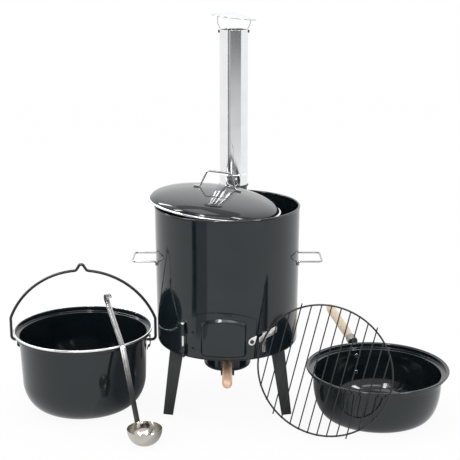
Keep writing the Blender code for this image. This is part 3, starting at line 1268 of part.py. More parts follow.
def make_grate(root):
    """The grill grate: a ring of wire with straight bars welded across its front."""
    place = grate_frame()
    carrier = pivot("grate_axis", place.to_translation(), root)
    angles = [tau * step / WIRE_RING_SIDES for step in range(WIRE_RING_SIDES)]
    ring = [(GRATE_R * cos(a), GRATE_R * sin(a), 0) for a in angles]
    bm = tube_mesh([ring], GRATE_WIRE_R, 1, cyclic=True)
    grate = add_piece("grill_grate", to_mesh(bm, "grill_grate", place), BLACK_STEEL, carrier)
    lift = GRATE_WIRE_R
    bars = []
    for number in range(GRATE_BARS):
        x = (number - (GRATE_BARS - 1) / 2) * GRATE_PITCH
        half = sqrt(GRATE_R ** 2 - x ** 2)
        half += GRATE_STUB if number in GRATE_STUB_BARS else GRATE_WIRE_R / 2
        bars.append([(x, -half, lift), (x, half, lift)])
    tilt = Matrix.Rotation(radians(-GRATE_BAR_TILT), 4, "Z")
    cross = cutter("grate_bars", tube_mesh(bars, GRATE_BAR_R, 1), carrier, place @ tilt)
    combine(grate, cross, "UNION")
    return carrier


def make_ladle(root):
    """The ladle: a round bowl on the ground and a riveted strip handle that leans on the cauldron's rim."""
    x, y = ladle_place()
    carrier = pivot("ladle_axis", (x, y, 0), root)
    back = turn_to(LADLE_TURN + 180) @ Matrix.Rotation(radians(-90), 4, "Z")
    place = Matrix.Translation((x, y, 0)) @ back
    outer = bowl_corner(LADLE_FLAT_R, LADLE_R, LADLE_HEIGHT, LADLE_STEPS)
    inner = bowl_corner(LADLE_FLAT_R, LADLE_R - THIN_SHEET, LADLE_HEIGHT - THIN_SHEET, LADLE_STEPS)
    profile = [(0, 0)] + outer + [(r, z + THIN_SHEET) for r, z in inner[::-1]] + [(0, THIN_SHEET)]
    shell = turned(profile, LADLE_SIDES, closed=False)
    bowl = add_piece("ladle_bowl", to_mesh(shell, "ladle_bowl", place), STAINLESS, carrier)
    sheet = strip(ladle_path(outer), LADLE_STRIP_WIDTH)
    handle = add_piece("ladle_handle", to_mesh(sheet, "ladle_handle", place), STAINLESS, carrier)
    thicken(handle, LADLE_STRIP_SHEET)
    for number, index in enumerate((LADLE_LAP_START, LADLE_LAP_START + 1), 1):
        point, normal = stretch_seat(outer, index)
        tilt = atan2(normal.x, normal.y)
        seat = place @ Matrix.Translation((point.x, 0, point.y)) @ Matrix.Rotation(tilt, 4, "Y")
        inside = -THIN_SHEET - GAP - facet_sag(LADLE_R, LADLE_SIDES)
        outside = GAP + LADLE_STRIP_SHEET + GAP
        hole = plug(LADLE_RIVET_R + GAP, inside - CUT / 2, outside + CUT / 2)
        combine(bowl, cutter(f"ladle_bowl_hole_{number}", hole.copy(), carrier, seat))
        combine(handle, cutter(f"ladle_strip_hole_{number}", hole, carrier, seat))
        end = inside - LADLE_RIVET_HEAD_H / 2
        profile = [(0, end), (LADLE_RIVET_R, end), (LADLE_RIVET_R, outside), (LADLE_RIVET_HEAD_R, outside),
                   (LADLE_RIVET_HEAD_R / 2, outside + LADLE_RIVET_HEAD_H), (0, outside + LADLE_RIVET_HEAD_H)]
        rivet = turned(profile, SMALL_SIDES, closed=False)
        add_piece(f"ladle_rivet_{number}", to_mesh(rivet, f"ladle_rivet_{number}", seat), STAINLESS, carrier)
    return carrier


def ladle_path(outer):
    """Side view of the ladle's handle: up the bowl's back, over the cauldron's rim, and a hook."""
    away = Vector((-sin(radians(LADLE_TURN)), cos(radians(LADLE_TURN))))
    to_pot = -Vector(LADLE_OFFSET)
    aside = abs(to_pot.x * away.y - to_pot.y * away.x)
    lean = LADLE_STRIP_SHEET + LADLE_RIM_GAP
    run = to_pot.dot(away) - sqrt((TRIM_R + lean) ** 2 - aside ** 2)
    path = lap_path(outer, LADLE_LAP_START, GAP + LADLE_STRIP_SHEET / 2)
    knee = Vector((*path[-1], 0))
    rim = Vector((run, POT_HEIGHT, 0))
    top = Vector((run + LADLE_TOP_RUN, LADLE_TOP_Z, 0))
    path += [(p.x, p.y) for p in rounded([knee, rim, top], LADLE_BEND_R)[1:]]
    ahead = (top - rim).normalized()
    side = Vector((-ahead.y, ahead.x, 0))
    centre = top + side * LADLE_HOOK_R
    for step in range(1, LADLE_HOOK_STEPS + 1):
        angle = radians(LADLE_HOOK_TURN * step / LADLE_HOOK_STEPS)
        point = centre + (ahead * sin(angle) - side * cos(angle)) * LADLE_HOOK_R
        path.append((point.x, point.y))
    return path


def settle_on_origin(root):
    """Move the set so that its box stands on the origin, centred over it."""
    bpy.context.view_layer.update()
    graph = bpy.context.evaluated_depsgraph_get()
    corners = []
    for obj in bpy.data.objects:
        if obj.type in {"MESH", "CURVE"} and not obj.hide_render:
            solid = obj.evaluated_get(graph)
            mesh = solid.to_mesh()
            corners += [solid.matrix_world @ vert.co for vert in mesh.vertices]
            solid.to_mesh_clear()
    low = Vector([min(c[axis] for c in corners) for axis in range(3)])
    high = Vector([max(c[axis] for c in corners) for axis in range(3)])
    middle = (low + high) / 2
    root.location = (-middle.x, -middle.y, -low.z)
    size = [round(v, 4) for v in high - low]
    print("set measures", size, "moved by", [round(v, 5) for v in root.location])


def make_set():
    """Build every piece."""
    clear_scene()
    root = pivot("set_origin", (0, 0, 0))
    make_drum(root)
    make_legs(root)
    make_side_handles(root)
    make_supports(root)
    make_fire_grate(root)
    hinge = make_door(root)
    make_latch(hinge)
    make_keeper(root)
    make_flue(root)
    make_chimney(root)
    make_ash_bowl(root)
    make_lid(root)
    make_cauldron(root)
    make_pan(root)
    make_grate(root)
    make_ladle(root)
    settle_on_origin(root)


make_set()
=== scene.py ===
# %% [markdown]
# A cauldron stove with all that belongs to it: an enamelled drum on three folded legs, a fire door, a
# stainless chimney, an ash bowl, and the loose pieces round it: lid, cauldron, pan, grill grate and ladle.
# The solids are already there, faceted and in place. This lesson gives every piece the finer skin and
# the finish that it has on the real set, and then lights it as a product is lit. Lengths are in metres.

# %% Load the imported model
import json
import bmesh
import bpy
from math import acos, asin, atan, atan2, cos, degrees, pi, radians, sin, sqrt, tan, tau
from mathutils import Matrix, Vector

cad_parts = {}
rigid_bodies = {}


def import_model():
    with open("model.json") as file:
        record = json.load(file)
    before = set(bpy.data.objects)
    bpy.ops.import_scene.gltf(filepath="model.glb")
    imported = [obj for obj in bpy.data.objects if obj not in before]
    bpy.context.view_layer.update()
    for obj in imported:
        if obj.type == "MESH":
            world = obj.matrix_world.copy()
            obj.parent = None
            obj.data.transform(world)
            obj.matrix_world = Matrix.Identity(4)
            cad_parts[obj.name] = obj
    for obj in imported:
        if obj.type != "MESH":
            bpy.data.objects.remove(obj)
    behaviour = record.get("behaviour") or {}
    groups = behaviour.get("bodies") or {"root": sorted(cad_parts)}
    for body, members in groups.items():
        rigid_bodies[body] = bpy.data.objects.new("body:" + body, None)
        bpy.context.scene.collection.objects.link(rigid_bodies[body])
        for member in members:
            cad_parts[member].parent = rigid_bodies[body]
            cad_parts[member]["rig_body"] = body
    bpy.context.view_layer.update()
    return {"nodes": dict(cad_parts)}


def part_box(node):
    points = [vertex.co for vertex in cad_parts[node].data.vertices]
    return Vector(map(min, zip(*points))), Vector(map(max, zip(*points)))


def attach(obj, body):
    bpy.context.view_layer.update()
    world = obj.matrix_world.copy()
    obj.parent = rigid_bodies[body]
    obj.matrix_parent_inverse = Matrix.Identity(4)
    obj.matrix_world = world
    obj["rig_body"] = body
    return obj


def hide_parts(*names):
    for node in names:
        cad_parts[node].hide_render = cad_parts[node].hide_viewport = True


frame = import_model()

# %% [markdown]
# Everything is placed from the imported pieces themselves. A round piece has its axis in the middle of its
# box. A piece that leans is measured along its own directions, because the corners of its box lie outside
# it. Azimuths are counted in degrees from the front (-Y) towards +X, as on a plan of the stove.

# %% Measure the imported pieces
GAP = 0.0003                 # between pieces that touch
MERGE = 0.00001              # distance at which doubled points are one
SHEET = 0.0015               # enamelled sheet of the drum, door and ash bowl
POT_SHEET = 0.0013           # enamelled sheet of cauldron, pan and lid
THIN_SHEET = 0.0008          # stainless sheet
CUT = 0.004                  # overrun of a cutter
FINE_EDGE = 0.0003           # rounding of a small part's cut edge
SHEET_EDGE = 0.0004          # rounding of a strip's cut edge
SMALL_FOLD = 0.0012          # rounding of a small fold or a low rivet head
SIDES = (("left", -1), ("right", 1))


def middle(node):
    """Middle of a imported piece's box."""
    low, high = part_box(node)
    return (low + high) / 2


def heights(node):
    """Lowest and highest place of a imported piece."""
    low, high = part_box(node)
    return low.z, high.z


def axis_of(node):
    """Place on the floor of a round piece's axis."""
    return Matrix.Translation((*middle(node).xy, 0))


def reach(node, direction):
    """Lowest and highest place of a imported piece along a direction."""
    places = [direction.dot(vert.co) for vert in frame["nodes"][node].data.vertices]
    return min(places), max(places)


def around(azimuth, radius, z=0.0):
    """A point from its azimuth, radius and height, seen from the axis of a round piece."""
    angle = radians(azimuth)
    return Vector((radius * sin(angle), -radius * cos(angle), z))


def turn_about(axis, angle):
    """Rotation about X, Y or Z by an angle in degrees."""
    return Matrix.Rotation(radians(angle), 4, axis)


def turn_to(azimuth):
    """Rotation that carries the front to an azimuth."""
    return turn_about("Z", azimuth)


def raised(z):
    """A move straight up."""
    return Matrix.Translation((0, 0, z))


stove = axis_of("fire_grate")
drum_low, drum_high = heights("stove_body")
print("drum from", round(drum_low, 4), "to", round(drum_high, 4), "axis", stove.to_translation())

# %% [markdown]
# Three shapes make nearly the whole set. Pots, pipes and beads are turned, so their profile is spun round
# an axis. Brackets and handles are strips, so a bent path is given a width and a thickness. Rods are bent
# wires, so a curve gets a round bevel. A profile is written as its corners, each with its own fillet,
# because pressed sheet never has a sharp edge and it is the fillets that catch the light.

# %% Shapes in the plane
def arc(middle_x, middle_z, radius, start, end, steps):
    """Points of a circle's arc, with angles in degrees."""
    angles = [radians(start + (end - start) * step / steps) for step in range(steps + 1)]
    return [(middle_x + radius * cos(a), middle_z + radius * sin(a)) for a in angles]


def filleted(corners, steps=4, closed=False):
    """Corners of (x, z, fillet), each bent to a smooth curve that starts one fillet away from it."""
    count = len(corners)
    path = []
    for index, (x, z, fillet) in enumerate(corners):
        corner = Vector((x, z))
        is_end = not closed and index in (0, count - 1)
        if fillet == 0 or is_end:
            path.append((x, z))
            continue
        before = Vector(corners[index - 1][:2]) - corner
        after = Vector(corners[(index + 1) % count][:2]) - corner
        size = min(fillet, before.length / 2, after.length / 2)
        start = corner + before.normalized() * size
        end = corner + after.normalized() * size
        for step in range(steps + 1):
            share = step / steps
            point = start * (1 - share) ** 2 + corner * (2 * share * (1 - share)) + end * share ** 2
            path.append((point.x, point.y))
    return path


def bowl_corner(flat, radius, height, steps):
    """Quarter of an ellipse from a bowl's flat base up to its wall."""
    angles = [radians(90 * step / steps) for step in range(steps + 1)]
    return [(flat + (radius - flat) * sin(a), height * (1 - cos(a))) for a in angles]


def rounded(points, radius, steps=8):
    """A path in space with each of its corners bent to an arc."""
    points = [Vector(p) for p in points]
    path = [points[0]]
    for before, corner, after in zip(points, points[1:], points[2:]):
        back = (before - corner).normalized()
        ahead = (after - corner).normalized()
        half = back.angle(ahead) / 2
        room = min((before - corner).length, (after - corner).length) / 2
        size = min(radius / tan(half), room)
        centre = corner + (back + ahead).normalized() * (size / cos(half))
        start = corner + back * size - centre
        axis = ahead.cross(back)
        for step in range(steps + 1):
            spin = Matrix.Rotation((pi - 2 * half) * step / steps, 3, axis)
            path.append(centre + spin @ start)
    path.append(points[-1])
    return path


# %% [markdown]
# Outlines and paths become shapes here, each as a bmesh, so that it can still be cut, joined and softened
# before it becomes a piece. The number of sides goes by size: a pot needs many more than a screw.

# %% Turned, folded and bent shapes
ROUND = 160                  # sides of drum, pots and lid
PIPE = 112                   # sides of pipe and cap
BOWL = 96                    # sides of the ash bowl and the ladle
GRIP = 48                    # sides of grips and of the pan's socket
SMALL = 40                   # sides of pins, screws and holes
HEAD = 32                    # sides of rivet heads
LONG_STRETCH = 0.025         # a longer stretch gets supporting rings
SUPPORT = 0.0010             # distance of a supporting ring from the end of its stretch


def only(geometry, kind):
    """The vertices, edges or faces among what an operator made."""
    return [item for item in geometry if isinstance(item, kind)]


def face_outwards(bm):
    """Turn all faces outwards."""
    bmesh.ops.recalc_face_normals(bm, faces=bm.faces)


def merged(bm):
    """Make doubled points one and turn all faces outwards."""
    bmesh.ops.remove_doubles(bm, verts=bm.verts, dist=MERGE)
    face_outwards(bm)
    return bm


def thickened(bm, thickness):
    """Give a sheet its thickness."""
    bmesh.ops.solidify(bm, geom=bm.faces[:], thickness=thickness)
    face_outwards(bm)
    return bm


def placed(bm, place):
    """Move a shape by a matrix."""
    bmesh.ops.transform(bm, matrix=place, verts=bm.verts)
    return bm


def line_through(bm, points, closed=False):
    """New vertices at points and the edges that join them."""
    verts = [bm.verts.new(point) for point in points]
    ends = verts + verts[:1] if closed else verts
    return verts, [bm.edges.new(pair) for pair in zip(ends, ends[1:])]


def bridge(bm, rows):
    """Faces between each row of edges and the next."""
    for first, second in zip(rows, rows[1:]):
        bmesh.ops.bridge_loops(bm, edges=first + second)


def extruded(bm, edges):
    """Extrude a row of edges; returns the vertices and edges of the new row."""
    geometry = bmesh.ops.extrude_edge_only(bm, edges=edges)["geom"]
    verts = only(geometry, bmesh.types.BMVert)
    edges = [e for e in only(geometry, bmesh.types.BMEdge) if e.verts[0] in verts and e.verts[1] in verts]
    return verts, edges


def supported(profile, closed):
    """A profile with a point near each end of its long stretches, which keeps their shading straight."""
    ends = profile + profile[:1] if closed else profile
    path = []
    for start, end in zip(ends, ends[1:]):
        path.append(start)
        stretch = Vector(end) - Vector(start)
        if stretch.length > LONG_STRETCH:
            step = stretch.normalized() * SUPPORT
            path += [tuple(Vector(start) + step), tuple(Vector(end) - step)]
    return path if closed else path + [profile[-1]]


def turned(profile, sides, closed=False):
    """Spin a profile of (radius, height) points round Z."""
    bm = bmesh.new()
    verts, edges = line_through(bm, [(r, 0, z) for r, z in supported(profile, closed)], closed)
    bmesh.ops.spin(bm, geom=verts + edges, cent=(0, 0, 0), axis=(0, 0, 1), angle=tau, steps=sides,
                   use_merge=True)
    return merged(bm)


def folded(path, section, thickness):
    """A sheet that follows a path of (x, z) points; section holds (side, lift) pairs across its width."""
    points = [Vector(p) for p in path]
    normals = []
    for index in range(len(points)):
        ahead = points[min(index + 1, len(points) - 1)] - points[max(index - 1, 0)]
        normals.append(Vector((-ahead.y, ahead.x)).normalized())
    bm = bmesh.new()
    side, lift = section[0]
    first = [(p.x + n.x * lift, side, p.y + n.y * lift) for p, n in zip(points, normals)]
    edges = line_through(bm, first)[1]
    for side, lift in section[1:]:
        line, edges = extruded(bm, edges)
        for vert, p, n in zip(line, points, normals):
            vert.co = (p.x + n.x * lift, side, p.y + n.y * lift)
    face_outwards(bm)
    return thickened(bm, thickness)


def soften(bm, width, segments=2, sharper_than=40):
    """Bevel the sharp edges of a shape."""
    sharp = [e for e in bm.edges if len(e.link_faces) == 2 and e.calc_face_angle(0) > radians(sharper_than)]
    bmesh.ops.bevel(bm, geom=sharp, affect="EDGES", offset=width, segments=segments, profile=0.5, material=-1,
                    clamp_overlap=True)


def flat_strip(path, width, thickness, edge=SHEET_EDGE):
    """A folded strip of plain sheet with its path in its middle and its edges broken."""
    bm = folded(path, [(-width / 2, -thickness / 2), (width / 2, -thickness / 2)], -thickness)
    soften(bm, edge)
    return bm


def to_side(side, corners, steps):
    """A path from its corners, on the left (-1) or the right (1)."""
    return [(side * x, z) for x, z in filleted(corners, steps)]


def slab(outline, start, end):
    """An outline of (x, z) points in the XZ plane, extruded along Y."""
    bm = bmesh.new()
    face = bm.faces.new([bm.verts.new((x, start, z)) for x, z in outline])
    geometry = bmesh.ops.extrude_face_region(bm, geom=[face])["geom"]
    bmesh.ops.translate(bm, verts=only(geometry, bmesh.types.BMVert), vec=(0, end - start, 0))
    face_outwards(bm)
    return bm


def rod(radius, start, end, sides=SMALL):
    """A plain round bar along Z."""
    bm = bmesh.new()
    bmesh.ops.create_cone(bm, cap_ends=True, segments=sides, radius1=radius, radius2=radius,
                          depth=end - start, matrix=raised((start + end) / 2))
    return bm


def headed_pin(shank_r, start, tip_edge, seat, head_r, top, dome, sides=SMALL):
    """A pin, screw or rivet along Z, with a domed head from its seat to its top."""
    return turned(filleted([(0, start, 0), (shank_r, start, tip_edge), (shank_r, seat, 0),
                            (head_r, seat, FINE_EDGE), (head_r, top, dome), (0, top, 0)]), sides)


def tube_along(paths, radius, sides_level=6, cyclic=False):
    """Round wires along paths, as one shape."""
    curve = bpy.data.curves.new("wires", "CURVE")
    curve.dimensions = "3D"
    for path in paths:
        spline = curve.splines.new("POLY")
        spline.points.add(len(path) - 1)
        for point, place in zip(spline.points, path):
            point.co = (*place, 1.0)
        spline.use_cyclic_u = cyclic
    curve.bevel_depth = radius
    curve.bevel_resolution = sides_level
    curve.use_fill_caps = not cyclic
    holder = bpy.data.objects.new("wires", curve)
    mesh = bpy.data.meshes.new_from_object(holder)
    bpy.data.objects.remove(holder)
    bm = bmesh.new()
    bm.from_mesh(mesh)
    return merged(bm)


# %% [markdown]
# A finished shape becomes a piece of the set: its place goes into the mesh, it takes its material, it
# rides on the body that carries it, and it takes over from the plain solids that stood for it.
# Holes are cut with a Boolean that is evaluated at once, so no cutter is left in the scene.

# %% From shape to piece
SMOOTH = radians(32)         # edges that fold more than this stay sharp in shading


def shown(name, data):
    """A mesh, lamp or camera as an object of the scene."""
    item = bpy.data.objects.new(name, data)
    bpy.context.scene.collection.objects.link(item)
    return item


def as_mesh(bm, name):
    """Write a shape to a mesh."""
    mesh = bpy.data.meshes.new(name)
    bm.to_mesh(mesh)
    bm.free()
    return mesh


def make_piece(name, bm, material, body, nodes, place=None, smooth=SMOOTH):
    """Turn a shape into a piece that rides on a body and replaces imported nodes."""
    if place is not None:
        placed(bm, place)
    mesh = as_mesh(bm, name)
    piece = shown(name, mesh)
    mesh.materials.append(material)
    mesh.shade_smooth()
    mesh.set_sharp_from_angle(angle=smooth)
    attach(piece, body)
    if nodes:
        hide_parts(*nodes)


def dress(node, bm, material, place=None, name=None, smooth=SMOOTH):
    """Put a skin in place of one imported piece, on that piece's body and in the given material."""
    packed = frame["nodes"][node]
    make_piece(name or f"{node}_fine", bm, material, packed["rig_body"], [node], place, smooth)


def combine(bm, other, operation="DIFFERENCE"):
    """Cut a shape with another one, or join them, and return the result as a new shape."""
    holders = [shown("cut", as_mesh(shape, "cut")) for shape in (bm, other)]
    modifier = holders[0].modifiers.new("cut", "BOOLEAN")
    modifier.solver = "EXACT"
    modifier.operation = operation
    modifier.object = holders[1]
    graph = bpy.context.evaluated_depsgraph_get()
    result = bmesh.new()
    result.from_object(holders[0], graph)
    for holder in holders:
        bpy.data.objects.remove(holder)
    bmesh.ops.remove_doubles(result, verts=result.verts, dist=MERGE)
    return result


def add_to(bm, other):
    """Put another shape into the same mesh."""
    mesh = as_mesh(other, "part")
    bm.from_mesh(mesh)
    bpy.data.meshes.remove(mesh)


def refined(node, material, width):
    """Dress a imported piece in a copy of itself, with flat faces joined and edges rounded."""
    bm = bmesh.new()
    bm.from_mesh(frame["nodes"][node].data)
    bmesh.ops.remove_doubles(bm, verts=bm.verts, dist=MERGE)
    bmesh.ops.dissolve_limit(bm, angle_limit=radians(1), verts=bm.verts[:], edges=bm.edges[:])
    soften(bm, width)
    dress(node, bm, material)


# %% [markdown]
# The set has enamel, satin paint, a bare casting, bright metals and beech. Enamel is black glass on steel.
# Glass has a specular level of about 4 per cent, so the colour of an enamelled pot is mostly the room that
# it mirrors. What tells it from plastic is the faint orange peel of the fired coat, which bends every
# reflection a little. All patterns read Object coordinates, because every piece sits unmoved at the origin.

# %% Helpers for materials
def start_material(name):
    """A material and its shader."""
    material = bpy.data.materials.new(name)
    material.use_nodes = True
    return material, material.node_tree, material.node_tree.nodes["Principled BSDF"]


def object_space(tree, scale=(1, 1, 1), turn=(0, 0, 0)):
    """Object coordinates, turned and then stretched."""
    source = tree.nodes.new("ShaderNodeTexCoord")
    turned_space = tree.nodes.new("ShaderNodeMapping")
    turned_space.inputs["Rotation"].default_value = turn
    stretched = tree.nodes.new("ShaderNodeMapping")
    stretched.inputs["Scale"].default_value = scale
    tree.links.new(source.outputs["Object"], turned_space.inputs["Vector"])
    tree.links.new(turned_space.outputs["Vector"], stretched.inputs["Vector"])
    return stretched.outputs["Vector"]


def noise(tree, space, scale, detail=2.0, roughness=0.5):
    """A noise pattern; scale is its number of waves in one metre."""
    node = tree.nodes.new("ShaderNodeTexNoise")
    node.inputs["Scale"].default_value = scale
    node.inputs["Detail"].default_value = detail
    node.inputs["Roughness"].default_value = roughness
    tree.links.new(space, node.inputs["Vector"])
    return node.outputs["Fac"]


def spread(tree, value, low, high, start=0.3, end=0.7):
    """Map a pattern from one range to another."""
    node = tree.nodes.new("ShaderNodeMapRange")
    node.inputs["From Min"].default_value = start
    node.inputs["From Max"].default_value = end
    node.inputs["To Min"].default_value = low
    node.inputs["To Max"].default_value = high
    tree.links.new(value, node.inputs["Value"])
    return node.outputs["Result"]


def blend_colours(tree, factor, first, second):
    """A colour between two others, by a pattern."""
    node = tree.nodes.new("ShaderNodeMix")
    node.data_type = "RGBA"
    tree.links.new(factor, node.inputs["Factor"])
    node.inputs["A"].default_value = (*first, 1)
    node.inputs["B"].default_value = (*second, 1)
    return node.outputs["Result"]


def colour_by(tree, shader, pattern, dark, light):
    """Let a pattern set the base colour between two colours."""
    tree.links.new(blend_colours(tree, spread(tree, pattern, 0, 1), dark, light), shader.inputs["Base Color"])


def roughness_by(tree, shader, pattern, low, high):
    """Let a pattern set the roughness between two values."""
    tree.links.new(spread(tree, pattern, low, high), shader.inputs["Roughness"])


def add_bump(tree, shader, height, depth, under=None):
    """Bend the surface by a pattern; depth is its real height in metres."""
    node = tree.nodes.new("ShaderNodeBump")
    node.inputs["Strength"].default_value = 1.0
    node.inputs["Distance"].default_value = depth
    tree.links.new(height, node.inputs["Height"])
    if under is not None:
        tree.links.new(under, node.inputs["Normal"])
    tree.links.new(node.outputs["Normal"], shader.inputs["Normal"])
    return node.outputs["Normal"]


# %% [markdown]
# Fired enamel is never quite even. Large soft patches shift its colour between two near blacks, smaller
# ones shift its gloss, and two bumps lie over each other: the orange peel and a much finer ripple. Their
# depths are given in metres, which keeps them true to scale.

# %% Black enamel
def make_enamel(name, dark, light, gloss_low, gloss_high, peel):
    """Fired enamel: nearly black glass with orange peel and a few dull patches."""
    material, tree, shader = start_material(name)
    space = object_space(tree)
    colour_by(tree, shader, noise(tree, space, 14, 3.0), dark, light)
    roughness_by(tree, shader, noise(tree, space, 38, 4.0), gloss_low, gloss_high)
    ripple = add_bump(tree, shader, noise(tree, space, 85, 1.5), peel)
    add_bump(tree, shader, noise(tree, space, 900, 1.0), peel / 12, ripple)
    shader.inputs["IOR"].default_value = 1.5
    return material


enamel = make_enamel("black enamel", dark=(0.0055, 0.0100, 0.0130), light=(0.0100, 0.0150, 0.0185),
                     gloss_low=0.06, gloss_high=0.12, peel=0.000030)

# %% [markdown]
# The folded steel of the legs and brackets is painted satin black, so its highlights are broad. The wires
# of the bail and the grill grate have a darker coat, and the cast grate is rougher, with a sand grain.
# The bright pieces are stainless steel. The pipe has the fine lengthwise lines of rolled sheet; the cap, the
# trims, the drawn rods, the ladle's bowl and the pan's dull bracket differ in how light and how smooth they
# are. Zinc plate has faint cloudy patches and broad highlights.

# %% Painted steel, cast iron, stainless steel and zinc
def make_paint(name, dark, light, roughness, grain, depth):
    """Satin paint or bare casting with a fine grain."""
    material, tree, shader = start_material(name)
    space = object_space(tree)
    colour_by(tree, shader, noise(tree, space, 30, 4.0), dark, light)
    roughness_by(tree, shader, noise(tree, space, 60, 5.0), *roughness)
    add_bump(tree, shader, noise(tree, space, grain, 3.0), depth)
    return material


def make_bright(name, dark, light, roughness, grain, depth, stretch=(1, 1, 1)):
    """Bright metal with lines or clouds, by the stretch of its pattern."""
    material, tree, shader = start_material(name)
    shader.inputs["Metallic"].default_value = 1.0
    lines = noise(tree, object_space(tree, stretch), grain, 4.0, 0.6)
    colour_by(tree, shader, noise(tree, object_space(tree), 22, 3.0), dark, light)
    roughness_by(tree, shader, lines, *roughness)
    add_bump(tree, shader, lines, depth)
    return material


# Each finish has a dark and a light colour, its least and most roughness, and its grain: waves in one
# metre, and their height.
black_steel = make_paint("satin black steel", (0.019, 0.021, 0.022), (0.028, 0.030, 0.031), (0.36, 0.48),
                         grain=700, depth=0.00002)
black_wire = make_paint("black coated wire", (0.006, 0.006, 0.007), (0.012, 0.012, 0.013), (0.34, 0.46),
                        grain=500, depth=0.00002)
cast_iron = make_paint("cast iron", (0.020, 0.020, 0.020), (0.038, 0.036, 0.035), (0.55, 0.75),
                       grain=420, depth=0.00010)
pipe_steel = make_bright("rolled stainless", (0.80, 0.81, 0.82), (0.86, 0.87, 0.88), (0.08, 0.16),
                         grain=900, depth=0.000004, stretch=(1, 1, 0.02))
cap_steel = make_bright("cap steel", (0.40, 0.41, 0.42), (0.46, 0.47, 0.48), (0.16, 0.26),
                        grain=500, depth=0.000004)
trim_steel = make_bright("polished trim", (0.78, 0.79, 0.80), (0.86, 0.87, 0.88), (0.10, 0.20),
                         grain=500, depth=0.000006)
rod_steel = make_bright("drawn rod", (0.30, 0.30, 0.30), (0.44, 0.44, 0.44), (0.14, 0.26),
                        grain=500, depth=0.000006)
bowl_steel = make_bright("pressed stainless", (0.46, 0.44, 0.40), (0.58, 0.56, 0.51), (0.08, 0.18),
                         grain=400, depth=0.000006)
socket_steel = make_bright("dull bracket steel", (0.15, 0.15, 0.14), (0.26, 0.26, 0.25), (0.24, 0.38),
                           grain=300, depth=0.00001)
zinc = make_bright("zinc plate", (0.84, 0.85, 0.84), (0.94, 0.95, 0.94), (0.34, 0.48),
                   grain=260, depth=0.000002)

# %% [markdown]
# The grips are turned from pale beech and lacquered. Beech has straight grain along the grip and short
# dark flecks in line with it. The pattern is turned into the grip's own direction and then stretched
# along it, so that each grip shows long grain on its side and rings on its end.

# %% Turned beech
def make_beech(name, direction, dark_band, pale_band):
    """Lacquered beech with its grain along a direction."""
    material, tree, shader = start_material(name)
    turn = direction.rotation_difference(Vector((0, 0, 1))).to_euler()
    grain = noise(tree, object_space(tree, (1, 1, 0.05), turn), 330, 5.0, 0.6)
    bands = noise(tree, object_space(tree, (1, 1, 0.08), turn), 75, 3.0, 0.5)
    flecks = noise(tree, object_space(tree, (1, 1, 0.12), turn), 1400, 1.0)
    pale = blend_colours(tree, spread(tree, bands, 0, 1), dark_band, pale_band)
    dark = tree.nodes.new("ShaderNodeMix")
    dark.data_type = "RGBA"
    dark.blend_type = "MULTIPLY"
    tree.links.new(spread(tree, flecks, 0.0, 0.75, 0.60, 0.72), dark.inputs["Factor"])
    tree.links.new(pale, dark.inputs["A"])
    dark.inputs["B"].default_value = (0.70, 0.55, 0.42, 1)
    tree.links.new(dark.outputs["Result"], shader.inputs["Base Color"])
    roughness_by(tree, shader, grain, 0.34, 0.50)
    add_bump(tree, shader, grain, 0.00003)
    shader.inputs["Coat Weight"].default_value = 0.25
    shader.inputs["Coat Roughness"].default_value = 0.22
    return material


print("materials:", [m.name for m in bpy.data.materials if m.use_nodes])

# %% [markdown]
# The drum is one deep-drawn shell: a floor with the ash hole, a fillet, a wall that widens a little
# upwards, and a rolled bead at the mouth. It is turned from a single closed profile, outside first and
# then back down the inside, and the door opening and the flue hole are cut from it afterwards.

# %% Drum
DRUM_FOOT_R = 0.1615
DRUM_TOP_R = 0.1640
DRUM_CORNER_R = 0.008
RIM_BEAD_R = 0.0025
RIM_BEAD_PROUD = 0.0012
ASH_HOLE_R = 0.0475
DOOR_LEFT_AZ = -33.6
DOOR_RIGHT_AZ = 23.0
DOOR_BOTTOM_Z = 0.1615
DOOR_SHOULDER_Z = 0.250
DOOR_CROWN_Z = 0.269
DOOR_LAP = 0.008
DOOR_MIDDLE_AZ = (DOOR_LEFT_AZ + DOOR_RIGHT_AZ) / 2
FLUE_R = 0.0330
FLUE_Z = 0.425
FLUE_CUT_SIDES = 72
OPENING_CORNER = 0.006       # rounding of the door opening's lower corners


def wall_radius(z):
    """Outer radius of the drum's wall at a height; the wall is straight from its corner to its bead."""
    neck = sqrt(RIM_BEAD_R ** 2 - (RIM_BEAD_R - RIM_BEAD_PROUD) ** 2)
    low = drum_low + DRUM_CORNER_R
    high = drum_high - RIM_BEAD_R - neck
    share = (z - low) / (high - low)
    return DRUM_FOOT_R + (DRUM_TOP_R - DRUM_FOOT_R) * share


def arch_outline(left, right, bottom, shoulder, crown, fillet, steps=28):
    """An arched outline with rounded lower corners, anticlockwise from the lower left."""
    half = (right - left) / 2
    rise = crown - shoulder
    radius = (half ** 2 + rise ** 2) / (2 * rise)
    angle = degrees(asin(half / radius))
    centre = (left + right) / 2
    arch = arc(centre, crown - radius, radius, 90 - angle, 90 + angle, steps)
    corners = [(left, shoulder, 0), (left, bottom, fillet), (right, bottom, fillet), (right, shoulder, 0)]
    return filleted(corners, 6)[1:-1] + arch


